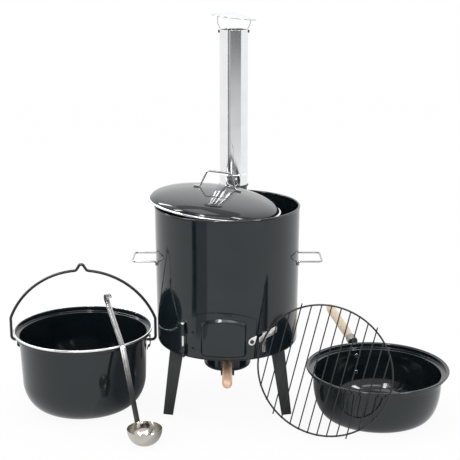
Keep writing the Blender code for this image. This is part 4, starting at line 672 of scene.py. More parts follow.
def drum_profile():
    """The drum's section: outside from the ash hole to the bead, then back down the inside."""
    bead_z = drum_high - RIM_BEAD_R
    bead_r = DRUM_TOP_R - RIM_BEAD_R + RIM_BEAD_PROUD
    outer = degrees(acos((DRUM_TOP_R - bead_r) / RIM_BEAD_R))
    inner = degrees(acos(max(-1.0, (DRUM_TOP_R - SHEET - bead_r) / RIM_BEAD_R)))
    corner_r = DRUM_FOOT_R - DRUM_CORNER_R
    corner_z = drum_low + DRUM_CORNER_R
    path = [(ASH_HOLE_R, drum_low)] + arc(corner_r, corner_z, DRUM_CORNER_R, -90, 0, 8)
    path += arc(bead_r, bead_z, RIM_BEAD_R, -outer, 360 - inner, 20)
    path += arc(corner_r, corner_z, DRUM_CORNER_R - SHEET, 0, -90, 6)
    return path + [(ASH_HOLE_R, drum_low + SHEET)]


flue_axis = middle("chimney_pipe") - stove.to_translation()
flue_azimuth = degrees(atan2(flue_axis.x, -flue_axis.y))
flue_reach = flue_axis.xy.length

half_opening = DRUM_FOOT_R * sin(radians((DOOR_RIGHT_AZ - DOOR_LEFT_AZ) / 2)) - DOOR_LAP
opening_outline = arch_outline(-half_opening, half_opening, DOOR_BOTTOM_Z + DOOR_LAP,
                               DOOR_SHOULDER_Z - DOOR_LAP, DOOR_CROWN_Z - DOOR_LAP, OPENING_CORNER)
opening = placed(slab(opening_outline, -DRUM_TOP_R - CUT, -DRUM_FOOT_R / 2), turn_to(DOOR_MIDDLE_AZ))
flue_cut = placed(rod(FLUE_R + GAP, DRUM_FOOT_R / 2, DRUM_TOP_R + CUT, FLUE_CUT_SIDES),
                  turn_to(flue_azimuth) @ raised(FLUE_Z) @ turn_about("X", 90))
drum = combine(combine(turned(drum_profile(), ROUND, closed=True), opening), flue_cut)
dress("stove_body", drum, enamel, stove, "drum")
print("drum turned, flue at azimuth", round(flue_azimuth, 2), "reach", round(flue_reach, 4))

# %% [markdown]
# The door is a pressed sheet that follows the drum: a flat lap all round, and an arched panel that rises
# from it in a soft step. It is drawn flat, as loops from the edge inwards, and the loops are bridged.
# Then the flat pattern is sliced into narrow upright strips so that it can be bent round the drum.

# %% Fire door
PANEL_LEFT_AZ = -21.3
PANEL_RIGHT_AZ = 15.4
PANEL_BOTTOM_Z = 0.1665
PANEL_SHOULDER_Z = 0.245
PANEL_CROWN_Z = 0.2560
PANEL_RISE = 0.0045
PANEL_SLOPE = 0.0090
DOOR_SLICES = 60
DOOR_CORNER = 0.004          # rounding of the lower corners of the lap
PANEL_CORNER = 0.009         # and of the panel
DOOR_EDGE = 0.0005
DOOR_SMOOTH = radians(28)    # keeps the foot of the panel's step crisp
STEP_SHARES = (0.0, 0.12, 0.28, 0.5, 0.72, 0.88, 1.0)


def eased(share):
    """A share from 0 to 1 that starts and ends softly."""
    return share ** 2 * (3 - 2 * share)


def on_pattern(azimuth):
    """Place of an azimuth on the door's flat pattern."""
    return radians(azimuth - DOOR_MIDDLE_AZ) * DRUM_FOOT_R


def wrap_on_drum(bm, middle_azimuth):
    """Bend a flat pattern round the drum: x is the arc, y the height above the wall, z the height."""
    for vert in bm.verts:
        along, lift, z = vert.co
        vert.co = around(middle_azimuth + degrees(along / DRUM_FOOT_R), wall_radius(z) + lift, z)


def slice_along_x(bm, low, high, pieces):
    """Cut a flat pattern at equal steps so that it can bend."""
    for step in range(1, pieces):
        place = (low + (high - low) * step / pieces, 0, 0)
        bmesh.ops.bisect_plane(bm, geom=bm.verts[:] + bm.edges[:] + bm.faces[:], dist=MERGE, plane_co=place,
                               plane_no=(1, 0, 0))


def door_loops():
    """Outlines of the door from its edge to the top of the panel, each with its height."""
    left, right = on_pattern(DOOR_LEFT_AZ), on_pattern(DOOR_RIGHT_AZ)
    loops = [(arch_outline(left, right, DOOR_BOTTOM_Z, DOOR_SHOULDER_Z, DOOR_CROWN_Z, DOOR_CORNER), 0.0)]
    left, right = on_pattern(PANEL_LEFT_AZ), on_pattern(PANEL_RIGHT_AZ)
    for share in STEP_SHARES:
        inset = PANEL_SLOPE * share
        outline = arch_outline(left + inset, right - inset, PANEL_BOTTOM_Z + inset / 2,
                               PANEL_SHOULDER_Z - inset, PANEL_CROWN_Z - inset, PANEL_CORNER)
        loops.append((outline, PANEL_RISE * eased(share)))
    return loops


def door_sheet():
    """The door as one sheet in flat pattern, bent round the drum and given its thickness."""
    bm = bmesh.new()
    rings = []
    for outline, height in door_loops():
        verts, edges = line_through(bm, [(x, height, z) for x, z in outline], closed=True)
        rings.append(edges)
    bm.faces.new(verts)
    bridge(bm, rings)
    face_outwards(bm)
    slice_along_x(bm, on_pattern(DOOR_LEFT_AZ), on_pattern(DOOR_RIGHT_AZ), DOOR_SLICES)
    for vert in bm.verts:
        vert.co.y += GAP
    wrap_on_drum(bm, DOOR_MIDDLE_AZ)
    face_outwards(bm)
    outward = sum((f.normal for f in bm.faces), Vector()).dot(around(DOOR_MIDDLE_AZ, 1.0))
    thickened(bm, -SHEET if outward > 0 else SHEET)
    soften(bm, DOOR_EDGE, sharper_than=60)
    return bm


dress("door_panel", door_sheet(), enamel, stove, "fire_door", DOOR_SMOOTH)
print("door pressed,", round(on_pattern(DOOR_RIGHT_AZ) - on_pattern(DOOR_LEFT_AZ), 4), "wide along the wall")

# %% [markdown]
# Four strips curl round one upright pin: two are welded to the drum, two to the door between them. Each
# strip lies on the wall and then turns nearly a full circle with a little play round the pin.

# %% Hinge
HINGE_AZ = -35.2
HINGE_R = 0.1692
PIN_R = 0.0025
PIN_HEAD_R = 0.0042
PIN_HEAD_H = 0.0022
PIN_TIP_EDGE = 0.0008
PIN_HEAD_DOME = 0.0018
LEAF_SHEET = 0.0014
LEAF_HEIGHT = 0.012
LEAF_LENGTH_AZ = 7.5
DOOR_LEAF_EXTRA_AZ = 1.5
CURL_TURN = 300
CURL_STEPS = 30
PAD_STEPS = 6


def hinge_leaf(start_azimuth, start_r, curl):
    """Path on the plan: along the wall, then round the pin; curl is 1 to come from the left."""
    eye_r = PIN_R + GAP + LEAF_SHEET / 2
    centre = around(HINGE_AZ, HINGE_R).to_2d()
    inward = -around(HINGE_AZ, 1.0).to_2d()
    along = around(HINGE_AZ + 90, 1.0).to_2d() * curl
    pad_end = HINGE_AZ - curl * degrees((eye_r + LEAF_SHEET) / HINGE_R)
    path = []
    for step in range(PAD_STEPS + 1):
        azimuth = start_azimuth + (pad_end - start_azimuth) * step / PAD_STEPS
        path.append(around(azimuth, start_r).to_2d())
    for step in range(CURL_STEPS + 1):
        turn = radians(CURL_TURN * step / CURL_STEPS)
        path.append(centre + (inward * cos(turn) + along * sin(turn)) * eye_r)
    return path


for side, curl in (("body", 1), ("door", -1)):
    for number in (1, 2):
        node = f"hinge_leaf_{side}_{number}"
        low_z, high_z = heights(node)
        pad = wall_radius(high_z) + GAP + LEAF_SHEET / 2
        start = HINGE_AZ - LEAF_LENGTH_AZ
        if side == "door":
            pad += SHEET + GAP
            start = HINGE_AZ + LEAF_LENGTH_AZ + DOOR_LEAF_EXTRA_AZ
        leaf = flat_strip(hinge_leaf(start, pad, curl), LEAF_HEIGHT, LEAF_SHEET, FINE_EDGE)
        dress(node, leaf, enamel, stove @ raised((low_z + high_z) / 2) @ turn_about("X", -90))

pin_low, pin_high = heights("hinge_pin")
pin = headed_pin(PIN_R, pin_low, PIN_TIP_EDGE, pin_high - PIN_HEAD_H, PIN_HEAD_R, pin_high, PIN_HEAD_DOME)
dress("hinge_pin", pin, zinc, stove @ Matrix.Translation(around(HINGE_AZ, HINGE_R)))
print("hinge pin", round(pin_high - pin_low, 4), "long")

# %% [markdown]
# The latch is a turn button: a stamped eye with a nose, held by a hollow rivet so that it turns stiffly.
# Its keeper is a sloping bright arm laid over an upright dark strap. Both are drawn flat and bent round
# the drum; the arm's left end is ramped off the wall so that the nose can go behind it, and three rivets
# hold the rest.

# %% Latch and keeper
LATCH_AZ = 19.1
LATCH_SHEET = 0.0018
LATCH_EYE_R = 0.0080
LATCH_HOLE_R = 0.0037
LATCH_NOSE_REACH = 0.0160
LATCH_NOSE_R = 0.0022
LATCH_REST_ANGLE = 49.0
LATCH_STANDOFF = 0.0006
RIVET_HEAD_H = 0.0012
RIVET_LIP = 0.0012
LATCH_Z = middle("latch_rivet").z
KEEPER_SHEET = 0.0016
KEEPER_STANDOFF = 0.0070
KEEPER_LEFT_AZ = 24.3
KEEPER_RIGHT_AZ = 41.5
KEEPER_LOW_Z = 0.1955
KEEPER_SLOPE = 17.0
KEEPER_WIDTHS = (0.0125, 0.0160)
KEEPER_ARM_RISE = 0.0030     # middle of the arm above the solid's lower edge
KEEPER_TAIL = 0.0240
KEEPER_TAIL_WIDTH = 0.0100
KEEPER_TAIL_OVER = 0.0035    # strap above the arm
KEEPER_TAIL_AZ = 30.0
KEEPER_RIVET_R = 0.0018
KEEPER_RIVET_SIDES = 24
KEEPER_SLICES = 36
ARM_CORNER = 0.003
ARM_RIVET_SHARES = (0.45, 0.85)
STRAP_FOOT_CORNER = 0.004
STRAP_TOP_CORNER = 0.002
RIVET_UNDERCUT = 0.0002      # rounding under the hollow rivet's lip
RIVET_CUP_EDGE = 0.0005      # rounding at the mouth of its hollow


def latch_lever():
    """The eye and its nose, stamped from sheet, with rounded edges."""
    span = LATCH_NOSE_REACH - LATCH_NOSE_R
    angle = degrees(acos((LATCH_EYE_R - LATCH_NOSE_R) / span))
    outline = arc(0, 0, LATCH_EYE_R, angle, 360 - angle, 48) + arc(span, 0, LATCH_NOSE_R, -angle, angle, 12)
    lever = slab(outline, -LATCH_SHEET / 2, LATCH_SHEET / 2)
    lever = combine(lever, placed(rod(LATCH_HOLE_R, -CUT, CUT), turn_about("X", 90)))
    soften(lever, SHEET_EDGE, 3)
    return lever


latch_face = wall_radius(LATCH_Z + LATCH_EYE_R) + GAP + SHEET + LATCH_STANDOFF + LATCH_SHEET / 2
latch_place = stove @ Matrix.Translation(around(LATCH_AZ, latch_face, LATCH_Z)) @ turn_to(LATCH_AZ)
dress("latch_lever", latch_lever(), zinc, latch_place @ turn_about("Y", -LATCH_REST_ANGLE), "latch_button")

shank = LATCH_HOLE_R - GAP
back = -LATCH_SHEET / 2 - LATCH_STANDOFF + GAP
front = LATCH_SHEET / 2 + GAP
top = front + RIVET_HEAD_H
hollow = front + RIVET_HEAD_H / 3
rivet_profile = filleted([(0, back, 0), (shank, back, 0), (shank, front, 0),
                          (shank + RIVET_LIP, front, RIVET_UNDERCUT), (shank + RIVET_LIP, top, SMALL_FOLD),
                          (shank / 2, top, RIVET_CUP_EDGE), (shank / 3, hollow, SHEET_EDGE), (0, hollow, 0)])
dress("latch_rivet", turned(rivet_profile, SMALL), black_steel, latch_place @ turn_about("X", 90))

keeper_left = radians(KEEPER_LEFT_AZ - KEEPER_TAIL_AZ) * DRUM_FOOT_R
keeper_right = radians(KEEPER_RIGHT_AZ - KEEPER_TAIL_AZ) * DRUM_FOOT_R


def arm_edge(x, side):
    """Height of the arm's lower (-1) or upper (1) edge at a place along it."""
    share = (x - keeper_left) / (keeper_right - keeper_left)
    width = KEEPER_WIDTHS[0] + (KEEPER_WIDTHS[1] - KEEPER_WIDTHS[0]) * share
    rise = (x - keeper_left) * tan(radians(KEEPER_SLOPE))
    return KEEPER_LOW_Z + KEEPER_ARM_RISE + KEEPER_WIDTHS[0] / 2 + rise + side * width / 2


def on_wall(corners, lift):
    """A flat outline as sheet of the keeper's thickness, cut into strips so that it can bend."""
    bm = slab(filleted(corners, 5, closed=True), lift, lift + KEEPER_SHEET)
    slice_along_x(bm, keeper_left, keeper_right, KEEPER_SLICES)
    return bm


def bend_keeper(bm):
    """Bend a flat piece of the keeper round the drum and break its edges."""
    wrap_on_drum(bm, KEEPER_TAIL_AZ)
    face_outwards(bm)
    soften(bm, SHEET_EDGE, sharper_than=50)


def add_rivet(bm, x, z, lift):
    """A low rivet head on the keeper."""
    face = wall_radius(z) + lift
    head = filleted([(0, face - GAP, 0), (KEEPER_RIVET_R, face - GAP, 0),
                     (KEEPER_RIVET_R, face + RIVET_HEAD_H, SMALL_FOLD), (0, face + RIVET_HEAD_H, 0)])
    outward = turn_to(KEEPER_TAIL_AZ + degrees(x / DRUM_FOOT_R)) @ raised(z) @ turn_about("X", 90)
    add_to(bm, placed(turned(head, KEEPER_RIVET_SIDES), outward))


def keeper_arm():
    """The bright arm with its ramp and two rivets."""
    lift = 2 * GAP + KEEPER_SHEET
    ends = ((keeper_left, -1), (keeper_right, -1), (keeper_right, 1), (keeper_left, 1))
    bm = on_wall([(x, arm_edge(x, side), ARM_CORNER) for x, side in ends], lift)
    tail = KEEPER_TAIL_WIDTH / 2
    ramp = -tail - keeper_left
    for vert in bm.verts:
        share = min(1.0, max(0.0, (-tail - vert.co.x) / ramp * 2))
        vert.co.y += (KEEPER_STANDOFF - lift) * eased(share)
    bend_keeper(bm)
    for share in ARM_RIVET_SHARES:
        x = keeper_right * share
        add_rivet(bm, x, (arm_edge(x, -1) + arm_edge(x, 1)) / 2, lift + KEEPER_SHEET)
    return bm


def keeper_strap():
    """The dark strap under the arm, with one rivet at its foot."""
    tail = KEEPER_TAIL_WIDTH / 2
    low, high = KEEPER_LOW_Z - KEEPER_TAIL, arm_edge(0, 1) + KEEPER_TAIL_OVER
    bm = on_wall([(-tail, low, STRAP_FOOT_CORNER), (tail, low, STRAP_FOOT_CORNER),
                  (tail, high, STRAP_TOP_CORNER), (-tail, high, STRAP_TOP_CORNER)], GAP)
    bend_keeper(bm)
    add_rivet(bm, 0, low + tail, GAP + KEEPER_SHEET)
    return bm


dress("latch_keeper", keeper_arm(), zinc, stove)
make_piece("latch_keeper_strap", keeper_strap(), rod_steel, "stove", [], stove)
print("latch at height", round(LATCH_Z, 4))

# %% [markdown]
# Each leg is a tapered angle folded from one sheet, with its fold outwards and a tab at the top that is
# bolted under the drum's floor. The section is drawn at the foot and at the top with the same number of
# points, so the two can be bridged, and the skin then gets its thickness inwards. The solid has a channel
# there; from the front the photograph shows one flat flange with a sharp fold, so the skin is an angle.

# %% Legs
LEG_AZIMUTHS = (-60.0, 60.0, 180.0)
LEG_SHEET = 0.0016
LEG_TOP_R = 0.1500           # radius of the fold
LEG_FOOT_R = 0.1700
LEG_TOP_FLANGE = 0.0325
LEG_FOOT_FLANGE = 0.0235
LEG_FOLD_R = 0.002
LEG_TAB_HALF = 0.0135
LEG_TAB_END_R = 0.1085
LEG_TAB_SHOULDER = 0.001     # rounding where the tab widens
LEG_TAB_CORNER = 0.006


def leg_section(flange, fold_r, z):
    """Points of the folded angle at one height: along one flange to the fold, and along the other."""
    half = flange * sqrt(0.5)
    corners = [(-half, -fold_r + half, 0), (0, -fold_r, LEG_FOLD_R), (half, -fold_r + half, 0)]
    return [Vector((x, y, z)) for x, y in filleted(corners, 8)]


def leg_shape():
    """One leg at the front, with its tab under the drum's floor."""
    top_z = drum_low - GAP
    bm = bmesh.new()
    foot = leg_section(LEG_FOOT_FLANGE, LEG_FOOT_R, 0)
    head = leg_section(LEG_TOP_FLANGE, LEG_TOP_R, top_z)
    bridge(bm, [line_through(bm, section)[1] for section in (foot, head)])
    face_outwards(bm)
    front = min(bm.faces, key=lambda f: f.calc_center_median().y)
    if front.normal.y > 0:
        bmesh.ops.reverse_faces(bm, faces=bm.faces)
    thickened(bm, LEG_SHEET)
    tip = -LEG_TOP_R + 2 * LEG_SHEET
    wide = tip + LEG_TAB_HALF - LEG_SHEET
    outline = filleted([(-LEG_SHEET, tip, 0), (LEG_SHEET, tip, 0), (LEG_TAB_HALF, wide, LEG_TAB_SHOULDER),
                        (LEG_TAB_HALF, -LEG_TAB_END_R, LEG_TAB_CORNER),
                        (-LEG_TAB_HALF, -LEG_TAB_END_R, LEG_TAB_CORNER),
                        (-LEG_TAB_HALF, wide, LEG_TAB_SHOULDER)], 6, closed=True)
    laid_flat = raised(top_z) @ turn_about("X", -90) @ Matrix.Diagonal((1, 1, -1, 1))
    tab = placed(slab(outline, 0, LEG_SHEET), laid_flat)
    face_outwards(tab)
    for shape in (bm, tab):
        soften(shape, SHEET_EDGE, sharper_than=50)
    add_to(bm, tab)
    return bm


for number, azimuth in enumerate(LEG_AZIMUTHS, 1):
    dress(f"leg_{number}", leg_shape(), black_steel, stove @ turn_to(azimuth))
    refined(f"leg_bolt_{number}", black_steel, SHEET_EDGE)
    refined(f"leg_nut_{number}", zinc, SHEET_EDGE)
print("legs folded,", round(drum_low, 4), "high")

# %% [markdown]
# The two side handles are bent rods with their ends turned down against the wall. Inside the drum three
# folded brackets carry the rim of a pot, and a cast grate lies over the ash hole.

# %% Side handles, brackets and fire grate
HANDLE_WIRE_R = 0.0021
HANDLE_Z = 0.350
HANDLE_REACH = 0.0485
HANDLE_HALF_WIDTH = 0.0390
HANDLE_BEND_R = 0.008
HANDLE_FOOT = 0.009
SUPPORT_AZIMUTHS = (90.0, -30.0, -150.0)
SUPPORT_DROP = 0.032
SUPPORT_REACH = 0.0165
SUPPORT_HEIGHT = 0.018
SUPPORT_WIDTH = 0.024
SUPPORT_SHEET = 0.0016
SUPPORT_FOLD = 0.003
CAST_EDGE = 0.0007


def side_handle(side):
    """Path of one handle, from one foot to the other."""
    wall = wall_radius(HANDLE_Z) + GAP + HANDLE_WIRE_R
    near = side * sqrt(wall ** 2 - HANDLE_HALF_WIDTH ** 2)
    far = side * (wall + HANDLE_REACH)
    low = HANDLE_Z - HANDLE_FOOT
    return [(near, -HANDLE_HALF_WIDTH, low), (near, -HANDLE_HALF_WIDTH, HANDLE_Z),
            (far, -HANDLE_HALF_WIDTH, HANDLE_Z), (far, HANDLE_HALF_WIDTH, HANDLE_Z),
            (near, HANDLE_HALF_WIDTH, HANDLE_Z), (near, HANDLE_HALF_WIDTH, low)]


for name, side in SIDES:
    path = rounded(side_handle(side), HANDLE_BEND_R, 10)
    dress(f"side_handle_{name}", tube_along([path], HANDLE_WIRE_R), rod_steel, stove)

support_z = drum_high - SUPPORT_DROP
shelf_z = support_z - SUPPORT_SHEET / 2
support_r = sqrt((wall_radius(support_z - SUPPORT_HEIGHT) - SHEET) ** 2 - (SUPPORT_WIDTH / 2) ** 2) - SHEET
support_path = filleted([(support_r, support_z - SUPPORT_HEIGHT, 0), (support_r, shelf_z, SUPPORT_FOLD),
                         (support_r - SUPPORT_REACH, shelf_z, 0)], 6)
for number, azimuth in enumerate(SUPPORT_AZIMUTHS, 1):
    strip = flat_strip(support_path, SUPPORT_WIDTH, SUPPORT_SHEET)
    dress(f"support_bracket_{number}", strip, black_steel, stove @ turn_to(azimuth - 90))
refined("fire_grate", cast_iron, CAST_EDGE)
print("handles at height", HANDLE_Z)

# %% [markdown]
# The flue leaves the back wall and turns straight up. One ring of points is extruded through the wall,
# spun a quarter turn about a sideways axis and extruded again, which keeps the tube round all the way.
# The chimney pipe slides over its upright end and stands on a collar.

# %% Flue elbow and collar
FLUE_SHEET = 0.0012
FLUE_BEND_R = 0.038
FLUE_INSIDE = 0.010
FLUE_TOP_Z = 0.520
FLUE_COLLAR_PROUD = 0.0028
FLUE_BEND_STEPS = 20


def flue_elbow():
    """A sheet tube with one quarter bend."""
    bm = bmesh.new()
    start = -(wall_radius(FLUE_Z) - FLUE_INSIDE)
    bend_y = -(flue_reach - FLUE_BEND_R)
    ring_place = Matrix.Translation((0, start, FLUE_Z)) @ turn_about("X", 90)
    bmesh.ops.create_circle(bm, cap_ends=False, segments=PIPE, radius=FLUE_R - FLUE_SHEET / 2,
                            matrix=ring_place)
    verts, edges = extruded(bm, bm.edges[:])
    bmesh.ops.translate(bm, verts=verts, vec=(0, bend_y - start, 0))
    out = bmesh.ops.spin(bm, geom=verts + edges, cent=(0, bend_y, FLUE_Z + FLUE_BEND_R), axis=(-1, 0, 0),
                         angle=radians(90), steps=FLUE_BEND_STEPS)["geom_last"]
    verts, edges = extruded(bm, only(out, bmesh.types.BMEdge))
    bmesh.ops.translate(bm, verts=verts, vec=(0, 0, FLUE_TOP_Z - FLUE_Z - FLUE_BEND_R))
    return thickened(merged(bm), FLUE_SHEET)


dress("flue_elbow", flue_elbow(), black_steel, stove @ turn_to(flue_azimuth))
chimney = axis_of("chimney_pipe")
collar_low, collar_high = heights("flue_collar")
collar_in, collar_out = FLUE_R + GAP, FLUE_R + FLUE_COLLAR_PROUD
collar = filleted([(collar_in, collar_low, FINE_EDGE), (collar_out, collar_low, SMALL_FOLD),
                   (collar_out, collar_high, SMALL_FOLD), (collar_in, collar_high, FINE_EDGE)], closed=True)
dress("flue_collar", turned(collar, PIPE, closed=True), black_steel, chimney)
print("flue bends at height", FLUE_Z)

# %% [markdown]
# The chimney is a plain stainless pipe with one pressed bead and a slightly rolled top edge. Its cap is a
# shallow cone with a turned-down lip, sitting a little askew on two strips, each held by a black screw.

# %% Chimney pipe, cap, strips and screws
PIPE_BEAD_Z = 0.505
PIPE_BEAD_PROUD = 0.0010
PIPE_BEAD_H = 0.003
PIPE_BEAD_FOOT = 0.001       # rounding where the bead leaves the pipe
CAP_R = 0.053
CAP_RISE = 0.011
CAP_EDGE_Z = 0.880
CAP_TILT = 7.0
CAP_LIP = 0.0012
CAP_STRIP_WIDTH = 0.014
CAP_STRIP_SHEET = 0.0012
CAP_STRIP_FLARE = 0.0065
CAP_STRIP_TOP = 0.011
CAP_STRIP_INSIDE = 0.017
CAP_SCREW_Z = 0.846
CAP_SCREW_R = 0.0020
CAP_SCREW_HEAD_R = 0.0036
CAP_SCREW_HEAD_H = 0.0028
CAP_SCREW_DOME = 0.0022
CAP_STRIP_BEND = 0.004
CAP_STRIP_TOP_BEND = 0.003

pipe_low, pipe_high = heights("chimney_pipe")
pipe_inner = FLUE_R + GAP
pipe_outer = pipe_inner + THIN_SHEET
edge = THIN_SHEET / 2
pipe_profile = filleted([(pipe_inner, pipe_low, edge), (pipe_outer, pipe_low, edge),
                         (pipe_outer, PIPE_BEAD_Z - PIPE_BEAD_H, 0),
                         (pipe_outer, PIPE_BEAD_Z - PIPE_BEAD_H / 2, PIPE_BEAD_FOOT),
                         (pipe_outer + PIPE_BEAD_PROUD, PIPE_BEAD_Z, SMALL_FOLD),
                         (pipe_outer, PIPE_BEAD_Z + PIPE_BEAD_H / 2, PIPE_BEAD_FOOT),
                         (pipe_outer, PIPE_BEAD_Z + PIPE_BEAD_H, 0),
                         (pipe_outer, pipe_high, edge), (pipe_inner, pipe_high, edge)], 3, closed=True)
dress("chimney_pipe", turned(pipe_profile, PIPE, closed=True), pipe_steel, chimney)

cap_place = chimney @ raised(CAP_EDGE_Z) @ turn_about("Y", CAP_TILT)
cap_slope = CAP_RISE / CAP_R
cap_lift = THIN_SHEET * sqrt(1 + cap_slope ** 2)
lip_z = -cap_lift - CAP_LIP
cap_profile = filleted([(0, CAP_RISE - cap_lift, 0), (CAP_R, -cap_lift, FINE_EDGE), (CAP_R, lip_z, FINE_EDGE),
                        (CAP_R + THIN_SHEET, lip_z, FINE_EDGE), (CAP_R + THIN_SHEET, 0, SMALL_FOLD),
                        (0, CAP_RISE, 0)])
dress("cap", turned(cap_profile, PIPE), cap_steel, cap_place)


def under_cap(side, reach_out):
    """Height just under the tilted cap at a distance from the pipe's axis."""
    point = turn_about("Y", CAP_TILT) @ Vector((side * reach_out, 0, CAP_RISE - cap_slope * reach_out))
    return CAP_EDGE_Z + point.z - cap_lift - 2 * GAP - CAP_STRIP_SHEET / 2 - cap_slope * CAP_STRIP_WIDTH / 4


strip_in = sqrt(pipe_inner ** 2 - (CAP_STRIP_WIDTH / 2) ** 2) - 2 * GAP - CAP_STRIP_SHEET / 2
strip_out = strip_in + CAP_STRIP_FLARE
strip_end = strip_out - CAP_STRIP_TOP
screw_in = strip_in - CAP_STRIP_SHEET / 2 - CAP_SCREW_HEAD_H
screw_seat = pipe_outer + GAP
screw_top = screw_seat + CAP_SCREW_HEAD_H
slot_size = Matrix.Diagonal((2 * CAP_SCREW_HEAD_R, CAP_SCREW_R / 3, CAP_SCREW_HEAD_H / 2, 1))
for name, side in SIDES:
    corners = [(strip_in, pipe_high - CAP_STRIP_INSIDE, 0),
               (strip_in, pipe_high + CAP_STRIP_SHEET / 2, CAP_STRIP_BEND),
               (strip_out, pipe_high + 2 * CAP_STRIP_FLARE, CAP_STRIP_BEND),
               (strip_out, under_cap(side, strip_out), CAP_STRIP_TOP_BEND),
               (strip_end, under_cap(side, strip_end) - cap_slope * CAP_STRIP_SHEET, 0)]
    strip = flat_strip(to_side(side, corners, 6), CAP_STRIP_WIDTH, CAP_STRIP_SHEET, FINE_EDGE)
    dress(f"cap_strip_{name}", strip, rod_steel, chimney)
    screw = headed_pin(CAP_SCREW_R, screw_in, SHEET_EDGE, screw_seat, CAP_SCREW_HEAD_R, screw_top,
                       CAP_SCREW_DOME)
    driver_slot = bmesh.new()
    bmesh.ops.create_cube(driver_slot, size=1.0, matrix=raised(screw_top) @ slot_size)
    outward = chimney @ raised(CAP_SCREW_Z) @ turn_about("Y", 90 * side)
    dress(f"cap_screw_{name}", combine(screw, driver_slot), black_steel, outward)
print("pipe from", round(pipe_low, 4), "to", round(pipe_high, 4))

# %% [markdown]
# Under the drum hangs a small enamelled ash bowl. Its rim slides on two folded rails, and a turned wooden
# grip sits in a ferrule on its front. A grip swells towards the hand and ends in a round tip.

# %% Ash bowl, rails and grip
ASH_BOWL_R = 0.0545
ASH_BOWL_CORNER = 0.010
ASH_RIM = 0.0065
ASH_NECK = 0.006             # depth at which the wall starts to bend out to the rim
ASH_NECK_BEND = 0.001
ASH_RIM_EDGE = 0.0007
RAIL_SHEET = 0.0015
RAIL_LENGTH = 0.120
RAIL_LIP = 0.0055
ASH_GRIP_Z = 0.1185
ASH_GRIP_R = 0.0110
ASH_GRIP_LENGTH = 0.138
ASH_FERRULE_R = 0.0088
ASH_FERRULE_LENGTH = 0.014
FERRULE_BORE = 0.72          # share of the ferrule's radius
FERRULE_BEND = 0.001
FERRULE_MOUTH_EDGE = 0.0008
FERRULE_BORE_EDGE = 0.0005
GRIP_NECK = 0.80             # radius at the ferrule, as a share of the widest
GRIP_SWELL = ((0.94, 0.10, 0.05), (1.0, 0.35, 0.10), (1.0, 0.75, 0.0))   # shares: radius, place, rounding
GRIP_TIP = 0.12              # share of the length in the round tip


def grip_profile(start, spigot_r, mouth, radius, length):
    """A turned grip: its spigot in the ferrule, a slim neck, a long swell and a round tip."""
    swell = [(radius * wide, mouth + length * place, length * bend) for wide, place, bend in GRIP_SWELL]
    body = filleted([(radius * GRIP_NECK, mouth, 0), *swell], 6)
    tip = [(radius * x, mouth + length * (1 - GRIP_TIP + GRIP_TIP * z)) for x, z in arc(0, 0, 1, 0, 90, 12)]
    return [(0, start), (spigot_r, start), (spigot_r, mouth)] + body + tip[:-1] + [(0, mouth + length)]


ash_low, ash_high = heights("ash_bowl")
ash_flat_r = ASH_BOWL_R - ASH_BOWL_CORNER
ash_in_r = ASH_BOWL_R - SHEET
rim = ASH_BOWL_R + ASH_RIM
under = ash_high - SHEET
neck_z = ash_high - ASH_NECK
outer_corner = bowl_corner(ash_flat_r, ASH_BOWL_R, ASH_BOWL_CORNER, 14)
inner_corner = bowl_corner(ash_flat_r, ash_in_r, ASH_BOWL_CORNER - SHEET, 14)
outside = [(r, ash_low + z) for r, z in outer_corner]
inside = [(r, ash_low + SHEET + z) for r, z in inner_corner]
lip = filleted([(ASH_BOWL_R, neck_z, 0), (ASH_BOWL_R, under, ASH_NECK_BEND), (rim, under, ASH_RIM_EDGE),
                (rim, ash_high, ASH_RIM_EDGE), (ash_in_r, ash_high, ASH_NECK_BEND), (ash_in_r, neck_z, 0)])
ash_profile = [(0, ash_low)] + outside + lip + inside[::-1] + [(0, ash_low + SHEET)]
dress("ash_bowl", turned(ash_profile, BOWL), enamel, stove)

web = rim + GAP + RAIL_SHEET / 2
rail_low = ash_high - SHEET - GAP - RAIL_SHEET / 2
rail_high = drum_low - GAP - RAIL_SHEET / 2
for name, side in SIDES:
    corners = [(web - RAIL_LIP, rail_low, 0), (web, rail_low, SMALL_FOLD), (web, rail_high, SMALL_FOLD),
               (web + RAIL_LIP, rail_high, 0)]
    rail = flat_strip(to_side(side, corners, 4), RAIL_LENGTH, RAIL_SHEET, FINE_EDGE)
    dress(f"ash_rail_{name}", rail, black_steel, stove)

forward = stove @ raised(ASH_GRIP_Z) @ turn_about("X", 90)
wall = ASH_BOWL_R + GAP
mouth = wall + ASH_FERRULE_LENGTH
bore = ASH_FERRULE_R * FERRULE_BORE
bore_floor = wall + ASH_FERRULE_LENGTH / 2
ferrule = filleted([(0, wall, 0), (ASH_FERRULE_R, wall, FERRULE_BEND),
                    (ASH_FERRULE_R, mouth, FERRULE_MOUTH_EDGE), (bore, mouth, FERRULE_BORE_EDGE),
                    (bore, bore_floor, 0), (0, bore_floor, 0)])
dress("ash_ferrule", turned(ferrule, SMALL), black_steel, forward)
# The ash grip's beech is redder than the pan grip's, and its colour is raised as painted light against the
# shade under the drum.
ash_beech_with_painted_light = make_beech("beech of the ash grip with painted light", Vector((0, 1, 0)), (0.72, 0.43, 0.27), (0.90, 0.60, 0.43))
ash_grip = grip_profile(bore_floor + GAP, bore - GAP, mouth + GAP, ASH_GRIP_R, ASH_GRIP_LENGTH)
dress("ash_grip", turned(ash_grip, GRIP), ash_beech_with_painted_light, forward)
print("ash bowl hangs from", round(ash_high, 4))

# %% [markdown]
# The lid lies askew on the drum, its left edge up. It is one pressed dome that reaches nearly to its rim,
# where a bright trim ring is folded round the edge of the sheet; the cauldron has the same ring. The handle
# is a bent rod whose two feet lie on the dome.

